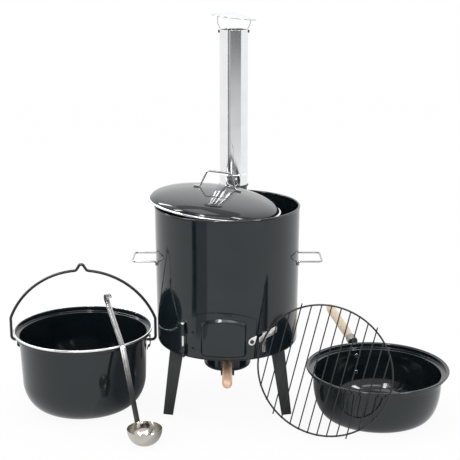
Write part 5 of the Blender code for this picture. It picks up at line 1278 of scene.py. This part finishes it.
# %% Lid
LID_R = 0.152
LID_SLOPE = 0.118
LID_TRIM_R = 0.0022
LID_TRIM_EDGES = (0.0004, 0.0020)      # inner and outer rounding of the ring
LID_DOME_R = 0.1470
LID_RISE = 0.0382
LID_FULLNESS = 1.8           # 2 gives a half ellipse; less gives a fuller shoulder and a more pointed top
DOME_STEPS = 48
LID_HANDLE_WIRE_R = 0.0022
LID_HANDLE_FOOT_SPAN = 0.108
LID_HANDLE_FOOT = 0.014
LID_HANDLE_TOP_SPAN = 0.054
LID_HANDLE_RISE = 0.036
LID_HANDLE_SHIFT = 0.0020
LID_HANDLE_BEND_R = 0.006

lid_tilt = Matrix.Rotation(atan(LID_SLOPE), 4, "Y")
lid_place = Matrix.Translation(middle("lid_trim")) @ lid_tilt @ raised(POT_SHEET / 2)


def dome_height(radius):
    """Height of the dome's upper face at a distance from its middle."""
    return LID_RISE * sqrt(max(0.0, 1 - (radius / LID_DOME_R) ** LID_FULLNESS))


def lid_face(inset):
    """Section of one face of the lid from its rim to its middle, an inset below the upper face."""
    path = [(LID_R - LID_TRIM_R, -inset)]
    for step in range(DOME_STEPS + 1):
        share = cos(radians(90 * step / DOME_STEPS))
        path.append(((LID_DOME_R - inset) * share, dome_height(LID_DOME_R * share) - inset))
    return path


def trim_ring(inner, outer, half, edges, slot_r, sheet_top):
    """A ring folded round the edge of an enamelled sheet, which lies in its slot."""
    mid = sheet_top - POT_SHEET / 2
    slot_low, slot_high = sheet_top - POT_SHEET - GAP, sheet_top + GAP
    corners = [(inner, mid + half, edges[0]), (outer, mid + half, edges[1]), (outer, mid - half, edges[1]),
               (inner, mid - half, edges[0]), (inner, slot_low, FINE_EDGE), (slot_r, slot_low, 0),
               (slot_r, slot_high, 0), (inner, slot_high, FINE_EDGE)]
    return turned(filleted(corners, 6, closed=True), ROUND, closed=True)


dress("lid_dome", turned(lid_face(POT_SHEET)[::-1] + lid_face(0.0), ROUND), enamel, lid_place)
lid_trim = trim_ring(LID_R - 2 * LID_TRIM_R, LID_R, LID_TRIM_R, LID_TRIM_EDGES, LID_R - LID_TRIM_R + GAP, 0)
dress("lid_trim", lid_trim, trim_steel, lid_place)


def on_dome(x):
    """Height at which the handle's rod lies on the dome."""
    return dome_height(abs(x)) + LID_HANDLE_WIRE_R + GAP


foot_out = LID_HANDLE_FOOT_SPAN / 2
foot_in = foot_out - LID_HANDLE_FOOT
bar_half = LID_HANDLE_TOP_SPAN / 2
bar_z = on_dome(foot_in) + LID_HANDLE_RISE
feet_x = [LID_HANDLE_SHIFT + x for x in (-foot_out, -foot_in, foot_in, foot_out)]
feet = [(x, 0, on_dome(x)) for x in feet_x]
bar = [(LID_HANDLE_SHIFT + x, 0, bar_z) for x in (-bar_half, bar_half)]
lid_handle = rounded(feet[:2] + bar + feet[2:], LID_HANDLE_BEND_R, 10)
dress("lid_handle", tube_along([lid_handle], LID_HANDLE_WIRE_R), rod_steel, lid_place)
print("lid", round(2 * LID_R, 3), "across, its rod", round(bar_z - on_dome(0), 4), "above the dome")

# %% [markdown]
# Cauldron and pan are drawn from one sheet each: a flat base, a large round corner, a wall, and a step
# near the mouth in which a lid or a grate can sit. The cauldron's edge is closed by a bright trim ring,
# the pan's is rolled to a bead. Their section is closed, outside and inside, before it is turned.

# %% Cauldron and its trim
POT_R = 0.1425
POT_FLAT_R = 0.090
POT_CORNER_H = 0.070
POT_FLARE = 0.0045           # widening of the wall from its round corner to its step
LEDGE_R = 0.1545
LEDGE_DEPTH = 0.0105
POT_RIM_R = 0.1575
TRIM_R = 0.1595
TRIM_HALF_H = 0.0022
TRIM_EDGES = (0.0005, 0.0021)          # inner and outer rounding of the ring
STEP_FILLET = 0.0016
POT_CORNER_STEPS = 24


def pot_section(flat, radius, corner_h, height, rim_r, flare=0.0):
    """Both sides of a pot with a step under its flange: outside going up, inside going down."""
    step_z = height - LEDGE_DEPTH
    under = height - POT_SHEET
    mouth = radius + flare
    ledge_out = LEDGE_R + POT_SHEET
    rising = [(radius, corner_h, 0), (mouth, step_z - POT_SHEET, STEP_FILLET),
              (ledge_out, step_z, STEP_FILLET), (ledge_out, under, STEP_FILLET / 2), (rim_r, under, 0)]
    falling = [(rim_r, height, 0), (LEDGE_R, height, STEP_FILLET / 2),
               (LEDGE_R, step_z + POT_SHEET, STEP_FILLET), (mouth - POT_SHEET, step_z, STEP_FILLET),
               (radius - POT_SHEET, corner_h, 0)]
    outside = bowl_corner(flat, radius, corner_h, POT_CORNER_STEPS)
    inside = bowl_corner(flat, radius - POT_SHEET, corner_h - POT_SHEET, POT_CORNER_STEPS)
    inside = [(r, z + POT_SHEET) for r, z in inside]
    return outside[:-1] + filleted(rising), filleted(falling) + inside[-2::-1]


pot = axis_of("cauldron_trim")
POT_HEIGHT = middle("cauldron_trim").z + POT_SHEET / 2
pot_out, pot_in = pot_section(POT_FLAT_R, POT_R, POT_CORNER_H, POT_HEIGHT, POT_RIM_R, POT_FLARE)
pot_profile = [(0, 0)] + pot_out + pot_in + [(0, POT_SHEET)]
dress("cauldron_pot", turned(pot_profile, ROUND), enamel, pot, "cauldron_fine")
pot_trim = trim_ring(LEDGE_R + POT_SHEET + GAP, TRIM_R, TRIM_HALF_H, TRIM_EDGES, POT_RIM_R + GAP, POT_HEIGHT)
dress("cauldron_trim", pot_trim, trim_steel, pot)
print("cauldron", round(POT_HEIGHT, 4), "high")

# %% [markdown]
# Two folded ears are riveted to the cauldron's wall, each a bridge with a hole. The bail is one bent wire:
# its ends go into the ears, and its crown has a notch in the middle, so that it hangs level from a hook.
# It is drawn upright about the line through the ears, because it swings about that line.

# %% Ears and bail
EAR_DROP = 0.0285
EAR_WIDTH = 0.017
EAR_SHEET = 0.0016
EAR_STANDOFF = 0.0090
EAR_ABOVE = 0.0105           # bridge above the bail's hole
EAR_BELOW = 0.0150
EAR_FOOT = 0.0075
EAR_FOOT_BEND = 0.0025
EAR_BEND = 0.004
BAIL_WIRE_R = 0.0032
BAIL_HALF_SPAN = 0.1668
BAIL_SHOULDER_H = 0.052
BAIL_NOTCH_HALF = 0.017
BAIL_BEND_R = 0.009
BAIL_NOTCH_RISE = 0.014      # notch above the crown
BAIL_NOTCH = ((0.0120, 0.0005, 0.006), (0.0035, BAIL_NOTCH_RISE, 0.007))  # half width, rise and rounding


def pot_wall(z):
    """Outer radius of the cauldron's straight wall at a height."""
    share = (z - POT_CORNER_H) / (POT_HEIGHT - LEDGE_DEPTH - POT_SHEET - POT_CORNER_H)
    return POT_R + POT_FLARE * share


def on_pot(z, fillet=0):
    """A corner of an ear that lies on the wall."""
    return pot_wall(z) + ear_lift, z, fillet


ear_z = POT_HEIGHT - EAR_DROP
ear_lift = GAP + EAR_SHEET / 2
ear_bridge = POT_R + ear_lift + EAR_STANDOFF
ear_low = ear_z - EAR_BELOW
ear_high = ear_z + EAR_ABOVE
foot_top = min(ear_high + EAR_FOOT, POT_HEIGHT - LEDGE_DEPTH - 2 * EAR_SHEET)
ear_corners = [on_pot(ear_low - EAR_FOOT), on_pot(ear_low, EAR_FOOT_BEND),
               (ear_bridge, ear_low + EAR_SHEET, EAR_BEND), (ear_bridge, ear_high - EAR_SHEET, EAR_BEND),
               on_pot(ear_high, EAR_FOOT_BEND), on_pot(foot_top)]
for name, side in SIDES:
    ear = flat_strip(to_side(side, ear_corners, 5), EAR_WIDTH, EAR_SHEET)
    hole = placed(rod(BAIL_WIRE_R + GAP, ear_bridge - CUT, ear_bridge + CUT),
                  raised(ear_z) @ turn_about("Y", 90 * side))
    dress(f"cauldron_ear_{name}", combine(ear, hole), black_steel, pot)


def bail_path():
    """The bail upright: out of one ear, up, over the round crown with its notch, and down to the other."""
    crown = heights("bail")[1] - ear_z - BAIL_WIRE_R - BAIL_NOTCH_RISE
    rise = crown - BAIL_SHOULDER_H
    radius = (BAIL_HALF_SPAN ** 2 + rise ** 2) / (2 * rise)
    notch_angle = degrees(asin(BAIL_NOTCH_HALF / radius))
    side_angle = degrees(asin(BAIL_HALF_SPAN / radius))
    half = [(pot_wall(ear_z + BAIL_WIRE_R) + GAP, 0)]
    half += arc(BAIL_HALF_SPAN - BAIL_BEND_R, BAIL_BEND_R, BAIL_BEND_R, -90, 0, 8)
    half += arc(0, crown - radius, radius, 90 - side_angle, 90 - notch_angle, 40)
    notch = [(x, crown + z, bend) for x, z, bend in BAIL_NOTCH]
    half += filleted([(*half[-1], 0), *notch, (0, crown + BAIL_NOTCH_RISE, 0)], 6)[1:-1]
    return [(x, 0, ear_z + z) for x, z in half] + [(-x, 0, ear_z + z) for x, z in half[::-1]]


dress("bail", tube_along([bail_path()], BAIL_WIRE_R), black_wire, pot)
print("bail's crown at", round(max(p[2] for p in bail_path()), 4))

# %% [markdown]
# The pan carries its grip on one bracket of dull steel: a plate that follows the round corner and the
# wall, with two rivets through both, and that bends out under the rim to a short socket for the wood.
# The plate's path is the pan's own outline, moved outwards by half its thickness.

# %% Pan
PAN_R = 0.1450
PAN_FLAT_R = 0.1120
PAN_CORNER_H = 0.080
PAN_RIM_R = 0.1620
PAN_BEAD_R = 0.0022
PAN_HANDLE_AZ = -167.0
PAN_SOCKET_CLEAR = 0.0040
PAN_SOCKET_R = 0.0122
PAN_SOCKET_LENGTH = 0.020
PAN_KNEE = 0.008
PAN_PLATE_WIDTH = 0.020
PAN_PLATE_SHEET = 0.0020
PAN_PLATE_EDGE = 0.0006
PAN_CUP_CORNER = 0.003
PAN_CUP_EDGE = 0.0009
PAN_CUP_DEPTH = 0.6          # share of the socket's length
PAN_GRIP_R = 0.0112
PAN_GRIP_LENGTH = 0.175
PAN_GRIP_TILT = 9.0
PAN_RIVET_HEAD_R = 0.0048
PAN_RIVET_HEAD_H = 0.0018
PAN_RIVET_DOME = 0.0030

pan = axis_of("pan_bowl")
socket_z = heights("pan_bowl")[1]
pan_sheet_z = socket_z - PAN_BEAD_R + POT_SHEET / 2
pan_out, pan_in = pot_section(PAN_FLAT_R, PAN_R, PAN_CORNER_H, pan_sheet_z, PAN_RIM_R - PAN_BEAD_R)
bite = degrees(asin(POT_SHEET / 2 / PAN_BEAD_R))
pan_bead = arc(PAN_RIM_R - PAN_BEAD_R, pan_sheet_z - POT_SHEET / 2, PAN_BEAD_R, -180 + bite, 180 - bite, 18)
pan_profile = [(0, 0)] + pan_out[:-1] + pan_bead + pan_in[1:] + [(0, POT_SHEET)]
dress("pan_bowl", turned(pan_profile, ROUND), enamel, pan, "pan_fine")


def seat_on(outline, z):
    """The point of a bowl's outline at a height, and its outward normal."""
    for start, end in zip(outline, outline[1:]):
        if start[1] <= z <= end[1] and end[1] > start[1]:
            share = (z - start[1]) / (end[1] - start[1])
            point = Vector(start).lerp(Vector(end), share)
            ahead = (Vector(end) - Vector(start)).normalized()
            return point, Vector((ahead.y, -ahead.x))
    return Vector(outline[-1]), Vector((1, 0))


def path_on(outline, low, high, steps, lift):
    """A path that follows a bowl's outline at a distance outside it."""
    path = []
    for step in range(steps + 1):
        point, normal = seat_on(outline, low + (high - low) * step / steps)
        path.append(tuple(point + normal * lift))
    return path


def rivet_place(outline, node):
    """Place of a rivet on a bowl's outline, with Z outwards."""
    point, normal = seat_on(outline, middle(node).z)
    return Matrix.Translation((point.x, 0, point.y)) @ Matrix.Rotation(atan2(normal.x, normal.y), 4, "Y")


pan_turn = pan @ turn_to(PAN_HANDLE_AZ) @ turn_to(-90)
plate_lift = GAP + PAN_PLATE_SHEET / 2
plate_path = path_on(pan_out, heights("pan_socket")[0], PAN_CORNER_H, 14, plate_lift)
plate_wall = PAN_R + plate_lift
knee_z = socket_z - PAN_SOCKET_R - PAN_PLATE_SHEET
socket_x = PAN_RIM_R + PAN_SOCKET_CLEAR
bend = filleted([(plate_wall, PAN_CORNER_H, 0), (plate_wall, knee_z - PAN_KNEE, PAN_KNEE),
                 (socket_x, knee_z, PAN_KNEE),
                 (socket_x + PAN_SOCKET_LENGTH / 2, knee_z + 2 * PAN_PLATE_SHEET, 0)], 8)
bracket = flat_strip(plate_path + bend[1:], PAN_PLATE_WIDTH, PAN_PLATE_SHEET, PAN_PLATE_EDGE)
socket_place = Matrix.Translation((socket_x, 0, socket_z)) @ turn_about("Y", 90 - PAN_GRIP_TILT)
spigot = PAN_SOCKET_R - PAN_PLATE_SHEET
cup_floor = PAN_SOCKET_LENGTH - PAN_SOCKET_LENGTH * PAN_CUP_DEPTH
cup = turned(filleted([(0, 0, 0), (PAN_SOCKET_R, 0, PAN_CUP_CORNER),
                       (PAN_SOCKET_R, PAN_SOCKET_LENGTH, PAN_CUP_EDGE),
                       (spigot, PAN_SOCKET_LENGTH, PAN_CUP_EDGE), (spigot, cup_floor, 0),
                       (0, cup_floor, 0)]), GRIP)
dress("pan_socket", combine(bracket, placed(cup, socket_place), "UNION"), socket_steel, pan_turn)

grip_place = pan_turn @ socket_place
grip_axis = (grip_place.to_3x3() @ Vector((0, 0, 1))).normalized()
pan_grip = grip_profile(cup_floor + GAP, spigot - GAP, PAN_SOCKET_LENGTH + GAP, PAN_GRIP_R, PAN_GRIP_LENGTH)
pan_beech = make_beech("beech of the pan grip", grip_axis, (0.64, 0.47, 0.31), (0.80, 0.65, 0.48))
dress("pan_grip", turned(pan_grip, GRIP), pan_beech, grip_place)

rivet_r = PAN_RIVET_HEAD_R / 2
seat_z = -POT_SHEET - GAP
head_z = seat_z - PAN_RIVET_HEAD_H
end_z = GAP + PAN_PLATE_SHEET + PAN_RIVET_HEAD_H / 2
for number in (1, 2):
    head = filleted([(0, head_z, 0), (PAN_RIVET_HEAD_R, head_z, PAN_RIVET_DOME),
                     (PAN_RIVET_HEAD_R, seat_z, FINE_EDGE), (rivet_r, seat_z, 0),
                     (rivet_r, end_z, PAN_PLATE_EDGE), (0, end_z, 0)])
    node = f"pan_rivet_{number}"
    dress(node, turned(head, HEAD), trim_steel, pan_turn @ rivet_place(pan_out, node))
print("pan", round(socket_z, 4), "high, grip along", [round(v, 3) for v in grip_axis])

# %% [markdown]
# The grill grate stands on its ring and leans on the pan's rim. Its straight bars are welded across the
# front of the ring, and two of them run on past it as feet. Every crossing has a small weld bead.

# %% Grill grate
GRATE_R = 0.148
GRATE_WIRE_R = 0.0020
GRATE_BAR_R = 0.0014
GRATE_BARS = 13
GRATE_PITCH = 0.0210
GRATE_STUB = 0.010
GRATE_STUB_BARS = (2, 10)
GRATE_YAW = -16.4
GRATE_LEAN = 2.3
GRATE_BAR_TILT = 13.0
WELD_R = 0.0017
WELD_SHAPE = (1.6, 1.25, 1.0, 1.0)     # stretch of a weld bead along its wires


def grate_place():
    """Place of the grate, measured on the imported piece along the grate's own directions."""
    yaw, lean = radians(GRATE_YAW), radians(GRATE_LEAN)
    forward = Vector((sin(yaw), -cos(yaw), 0))
    along = Vector((cos(yaw), sin(yaw), 0))
    face = forward * cos(lean) + Vector((0, 0, sin(lean)))
    up = face.cross(along)
    in_plane = sum(reach("grill_grate", along)) / 2
    height = sum(reach("grill_grate", up)) / 2
    depth = reach("grill_grate", face)[0] + GRATE_WIRE_R
    centre = along * in_plane + up * height + face * depth
    return Matrix.Translation(centre) @ Matrix((along, up, face)).transposed().to_4x4()


grate = grate_place()
bar_turn = turn_about("Z", -GRATE_BAR_TILT)
ring = [(GRATE_R * cos(a), GRATE_R * sin(a), 0) for a in (tau * step / ROUND for step in range(ROUND))]
grate_shape = tube_along([ring], GRATE_WIRE_R, 4, cyclic=True)
bars = []
welds = []
for number in range(GRATE_BARS):
    x = (number - (GRATE_BARS - 1) / 2) * GRATE_PITCH
    half = sqrt(GRATE_R ** 2 - x ** 2)
    end = half + (GRATE_STUB if number in GRATE_STUB_BARS else GRATE_WIRE_R / 2)
    bars.append([(x, -end, GRATE_WIRE_R), (x, end, GRATE_WIRE_R)])
    welds += [(x, -half, GRATE_WIRE_R / 2), (x, half, GRATE_WIRE_R / 2)]
add_to(grate_shape, placed(tube_along(bars, GRATE_BAR_R, 3), bar_turn))
for place in welds:
    weld = bmesh.new()
    weld_place = bar_turn @ Matrix.Translation(place) @ Matrix.Diagonal(WELD_SHAPE)
    bmesh.ops.create_icosphere(weld, subdivisions=2, radius=WELD_R, matrix=weld_place)
    add_to(grate_shape, weld)
dress("grill_grate", grate_shape, black_wire, grate)
print("grate centred at", [round(v, 4) for v in grate.to_translation()])

# %% [markdown]
# The ladle stands on its round bowl, and its handle leans on the cauldron's rim. The handle is a long
# strip with a pressed rib for stiffness, riveted to the back of the bowl, with a hook at the end.

# %% Ladle
LADLE_TURN = 28.0
LADLE_R = 0.0380
LADLE_HEIGHT = 0.036
LADLE_FLAT_R = 0.009
LADLE_STRIP_WIDTH = 0.0125
LADLE_STRIP_SHEET = 0.0018
LADLE_RIM_GAP = 0.0010
LADLE_TOP_RUN = 0.086
LADLE_TOP_Z = 0.2678
LADLE_BEND_R = 0.020
LADLE_HOOK_R = 0.0085
LADLE_HOOK_TURN = 210.0
LADLE_HOOK_STEPS = 28
LADLE_RIVET_R = 0.0022
LADLE_RIVET_HEAD_R = 0.0038
LADLE_RIVET_HEAD_H = 0.0013
LADLE_RIVET_DOME = 0.0022
LADLE_RIB = 0.0009           # height of the rib pressed into the handle
LADLE_STRIP_METAL = 0.6      # thickness of the ribbed sheet, as a share of the strip's
LADLE_HOLE_R = 0.0022
LADLE_HOLE_DROP = 0.020
LADLE_SECTION = ((-1.0, 0.35), (-0.82, 0.0), (-0.45, 0.0), (-0.25, 1.0), (0.25, 1.0), (0.45, 0.0),
                 (0.82, 0.0), (1.0, 0.35))     # half width and rib height, as shares


def make_shaded_handle_steel(name, dark, light, low_z, high_z, hook):
    """Steel with painted shade: darker towards the low end, as a painted dark reflection of the pot that it
    leans on, and darker again along the hook.
    """
    material = make_bright(name, dark, light, (0.16, 0.28), grain=400, depth=0.000006)
    tree = material.node_tree
    shader = tree.nodes["Principled BSDF"]
    split = tree.nodes.new("ShaderNodeSeparateXYZ")
    tree.links.new(object_space(tree), split.inputs["Vector"])
    rising = spread(tree, split.outputs["Z"], 0, 1, low_z, high_z - hook)
    falling = spread(tree, split.outputs["Z"], 1, 0.1, high_z - hook, high_z)
    both = tree.nodes.new("ShaderNodeMath")
    both.operation = "MULTIPLY"
    tree.links.new(rising, both.inputs[0])
    tree.links.new(falling, both.inputs[1])
    tree.links.new(blend_colours(tree, both.outputs["Value"], dark, light), shader.inputs["Base Color"])
    return material


ladle = axis_of("ladle_bowl") @ turn_to(LADLE_TURN + 180) @ turn_to(-90)
ladle_out = bowl_corner(LADLE_FLAT_R, LADLE_R, LADLE_HEIGHT, 28)
ladle_in = bowl_corner(LADLE_FLAT_R, LADLE_R - THIN_SHEET, LADLE_HEIGHT - THIN_SHEET, 28)
ladle_profile = [(0, 0)] + ladle_out + [(r, z + THIN_SHEET) for r, z in ladle_in[::-1]] + [(0, THIN_SHEET)]
dress("ladle_bowl", turned(ladle_profile, BOWL), bowl_steel, ladle)


def ladle_path():
    """Side view of the handle: up the bowl's back, out to the cauldron's rim, over it, and the hook."""
    away = Vector((-sin(radians(LADLE_TURN)), cos(radians(LADLE_TURN))))
    to_pot = (middle("cauldron_trim") - middle("ladle_bowl")).xy
    aside = abs(to_pot.x * away.y - to_pot.y * away.x)
    run = to_pot.dot(away) - sqrt((TRIM_R + LADLE_STRIP_SHEET + LADLE_RIM_GAP) ** 2 - aside ** 2)
    path = path_on(ladle_out, heights("ladle_handle")[0], LADLE_HEIGHT, 8, GAP + LADLE_STRIP_SHEET / 2)
    top = Vector((run + LADLE_TOP_RUN, LADLE_TOP_Z))
    bend = rounded([(*path[-1], 0), (run, POT_HEIGHT, 0), (*top, 0)], LADLE_BEND_R)
    path += [(p.x, p.y) for p in bend[1:]]
    ahead = Vector((LADLE_TOP_RUN, LADLE_TOP_Z - POT_HEIGHT)).normalized()
    side = Vector((-ahead.y, ahead.x))
    centre = top + side * LADLE_HOOK_R
    for step in range(1, LADLE_HOOK_STEPS + 1):
        angle = radians(LADLE_HOOK_TURN * step / LADLE_HOOK_STEPS)
        path.append(tuple(centre + (ahead * sin(angle) - side * cos(angle)) * LADLE_HOOK_R))
    return path, top, ahead


handle_path, handle_top, handle_ahead = ladle_path()
half = LADLE_STRIP_WIDTH / 2
base = LADLE_STRIP_SHEET / 2
section = [(half * across, LADLE_RIB * up - base) for across, up in LADLE_SECTION]
handle = folded(handle_path, section, LADLE_STRIP_SHEET * LADLE_STRIP_METAL)
soften(handle, FINE_EDGE, sharper_than=50)
hole_middle = handle_top - handle_ahead * LADLE_HOLE_DROP
hole_turn = Matrix.Rotation(atan2(-handle_ahead.y, handle_ahead.x), 4, "Y")
hole = placed(rod(LADLE_HOLE_R, -CUT, CUT), Matrix.Translation((hole_middle.x, 0, hole_middle.y)) @ hole_turn)
# The handle's base colour carries painted shade: dark near the bowl as a painted reflection of the black pot,
# light towards the top.
shaded_handle_steel = make_shaded_handle_steel("ladle handle steel with painted shade", (0.10, 0.10, 0.10), (0.60, 0.60, 0.60), low_z=0.10,
                                 high_z=LADLE_TOP_Z, hook=LADLE_HOOK_R)
dress("ladle_handle", combine(handle, hole), shaded_handle_steel, ladle)
seat = GAP + LADLE_STRIP_SHEET
for number in (1, 2):
    node = f"ladle_rivet_{number}"
    rivet = headed_pin(LADLE_RIVET_R, -THIN_SHEET - GAP, SHEET_EDGE, seat, LADLE_RIVET_HEAD_R,
                       seat + LADLE_RIVET_HEAD_H, LADLE_RIVET_DOME, HEAD)
    dress(node, rivet, bowl_steel, ladle @ rivet_place(ladle_out, node))
print("ladle handle", round(handle_top.y, 4), "high")

# %% [markdown]
# The set stands on white paper in a white studio. The paper glows for the camera and for mirrors, so that
# it shows as nearly white, and for every other ray it is plain paper that keeps the set's soft shadow.

# %% World and floor
scene = bpy.context.scene
scene.view_settings.view_transform = "Standard"
WHITE = (1.0, 1.0, 1.0, 1.0)
CAMERA_GLOW = 0.93           # share of plain white in the floor that the camera sees
MIRROR_GLOW = 0.84           # and in the floor that glossy pieces mirror
FLOOR_HALF = 6.0
FLOOR_Z = -0.0005

world = bpy.data.worlds.new("studio")
scene.world = world
world.use_nodes = True
world.node_tree.nodes["Background"].inputs["Color"].default_value = WHITE
world.node_tree.nodes["Background"].inputs["Strength"].default_value = 1.0


def floor_material():
    """White paper: seen by the camera as nearly pure white that keeps a faint shadow."""
    material, tree, shader = start_material("white floor")
    shader.inputs["Base Color"].default_value = (0.93, 0.93, 0.93, 1)
    shader.inputs["Roughness"].default_value = 0.9
    glow = tree.nodes.new("ShaderNodeEmission")
    glow.inputs["Color"].default_value = WHITE
    mix = tree.nodes.new("ShaderNodeMixShader")
    path = tree.nodes.new("ShaderNodeLightPath")
    seen = tree.nodes.new("ShaderNodeMath")
    seen.operation = "MAXIMUM"
    for index, (ray, amount) in enumerate((("Is Camera Ray", CAMERA_GLOW), ("Is Glossy Ray", MIRROR_GLOW))):
        share = tree.nodes.new("ShaderNodeMath")
        share.operation = "MULTIPLY"
        share.inputs[1].default_value = amount
        tree.links.new(path.outputs[ray], share.inputs[0])
        tree.links.new(share.outputs["Value"], seen.inputs[index])
    tree.links.new(seen.outputs["Value"], mix.inputs["Fac"])
    tree.links.new(shader.outputs["BSDF"], mix.inputs[1])
    tree.links.new(glow.outputs["Emission"], mix.inputs[2])
    tree.links.new(mix.outputs["Shader"], tree.nodes["Material Output"].inputs["Surface"])
    return material


floor_shape = bmesh.new()
bmesh.ops.create_grid(floor_shape, x_segments=1, y_segments=1, size=FLOOR_HALF, matrix=raised(FLOOR_Z))
floor_mesh = as_mesh(floor_shape, "floor")
floor_mesh.materials.append(floor_material())
shown("floor", floor_mesh)
print("floor", 2 * FLOOR_HALF, "wide")

# %% [markdown]
# Glossy black shows nothing but its surroundings, so the room is designed like a mirror image, with cards
# that only reflections see. Behind the camera stands a grey wall, light at its foot and dark higher up,
# which darkens the middle of every bright cylinder, and behind the set a bright sky. A narrow dark upright
# card and a grey one beside it, both carried on over the floor, draw the dark line down the drum's left
# side. A dark disc under the stove is a painted shadow: it puts the stove's shadow on the floor into the
# reflections, which otherwise see the floor's even glow. A soft box in front and four small bright cards
# round the set give the crests and corners their highlights.

# %% Cards for the reflections
WALL_R = 3.0
SKY_R = 3.2
LINE_R = 1.3
LINE_TOP = 1.8
FLOOR_LINE_Z = 0.001
SHADE_Z = 0.0006
CREST_LEVEL = 4.5
SPOT_LEVEL = 22.0
SPOT_HALF_AZ = 4
WALL_LEVELS = ((0.0, 0.74), (0.25, 0.66), (0.37, 0.54), (0.45, 0.40), (0.56, 0.24), (0.65, 0.15),
               (0.95, 0.12))           # height and level
SKY_LEVELS = ((0.9, 1.25), (1.6, 1.40), (3.0, 1.90), (5.7, 2.20))
SHADE_LEVELS = ((0.02, 0.20), (0.23, 0.25), (0.33, MIRROR_GLOW))       # radius and level
CREST_ROWS = ((2.1, 1.75), (1.9, 2.15))          # radius and height
SPOT_ROWS = ((2.1, 1.35), (1.6, 2.50))
LINES = (("line_card", -53.5, -46.5, 4, 0.02, 0.88),
         ("half_line_card", -46.4, -30, 6, 0.50, 0.72))  # azimuths, steps, level, start on the floor


def card_material():
    """A glow whose strength is written in the card's own vertices."""
    material, tree, shader = start_material("card glow")
    level = tree.nodes.new("ShaderNodeAttribute")
    level.attribute_name = "level"
    glow = tree.nodes.new("ShaderNodeEmission")
    glow.inputs["Color"].default_value = WHITE
    tree.links.new(level.outputs["Fac"], glow.inputs["Strength"])
    tree.links.new(glow.outputs["Emission"], tree.nodes["Material Output"].inputs["Surface"])
    return material


card_glow = card_material()


def card(name, rows):
    """A card through rows of points, each with its level of light; only glossy rays see it."""
    bm = bmesh.new()
    level = bm.verts.layers.float.new("level")
    rings = []
    for row, light in rows:
        verts, edges = line_through(bm, row)
        for vert in verts:
            vert[level] = light
        rings.append(edges)
    bridge(bm, rings)
    mesh = as_mesh(bm, name)
    mesh.materials.append(card_glow)
    sheet = shown(name, mesh)
    sheet.visible_camera = False
    sheet.visible_diffuse = False
    sheet.visible_shadow = False
    sheet.visible_transmission = False


def arc_row(start, end, radius, z, steps=24):
    """Points at equal azimuths on a circle round the set."""
    return [around(start + (end - start) * step / steps, radius, z) for step in range(steps + 1)]


card("wall_card", [(arc_row(-40, 64, WALL_R, z), grey) for z, grey in WALL_LEVELS])
card("sky_card", [(arc_row(85, 275, SKY_R, z), light) for z, light in SKY_LEVELS])
for name, start, end, steps, light, near in LINES:
    card(name, [(arc_row(start, end, LINE_R, z, steps), light) for z in (0.0, LINE_TOP)])
    card(f"floor_{name}", [(arc_row(start, end, r, FLOOR_LINE_Z, steps), light) for r in (near, LINE_R)])
# A painted shadow: the stove's shadow on the floor, as the reflections see it.
card("painted_shadow_card", [(arc_row(0, 360, r, SHADE_Z, 64), light) for r, light in SHADE_LEVELS])
card("crest_card", [(arc_row(-50, 36, r, z, 16), CREST_LEVEL) for r, z in CREST_ROWS])
for number, azimuth in enumerate((-115, -70, -18, 52), 1):
    start, end = azimuth - SPOT_HALF_AZ, azimuth + SPOT_HALF_AZ
    card(f"spot_card_{number}", [(arc_row(start, end, r, z, 4), SPOT_LEVEL) for r, z in SPOT_ROWS])
print("studio ready")

# %% [markdown]
# The camera stands about two and a half metres away, a little above the chimney's top, and looks down
# by fourteen degrees. A long lens keeps the uprights nearly parallel.

# %% Camera and light
CAMERA_PLACE = (0.00582, -2.42835, 1.0239)
CAMERA_PITCH = 0.246
CAMERA_LENS = 86.18
SENSOR = 36.0

camera_data = bpy.data.cameras.new("camera")
camera_data.lens = CAMERA_LENS
camera_data.sensor_width = SENSOR
camera_data.sensor_fit = "HORIZONTAL"
camera = shown("camera", camera_data)
camera.location = CAMERA_PLACE
camera.rotation_euler = (pi / 2 - CAMERA_PITCH, 0, 0)
scene.camera = camera


def soft_light(name, place, target, size, power):
    """A large square lamp that looks at a point."""
    data = bpy.data.lights.new(name, "AREA")
    data.shape = "SQUARE"
    data.size = size
    data.energy = power
    lamp = shown(name, data)
    lamp.location = place
    lamp.rotation_euler = (Vector(target) - Vector(place)).to_track_quat("-Z", "Y").to_euler()


soft_light("overhead", place=(-0.3, -0.2, 2.6), target=(0, 0, 0.3), size=1.2, power=9.0)
print("camera", round(Vector(CAMERA_PLACE).length, 3), "from the middle of the floor")
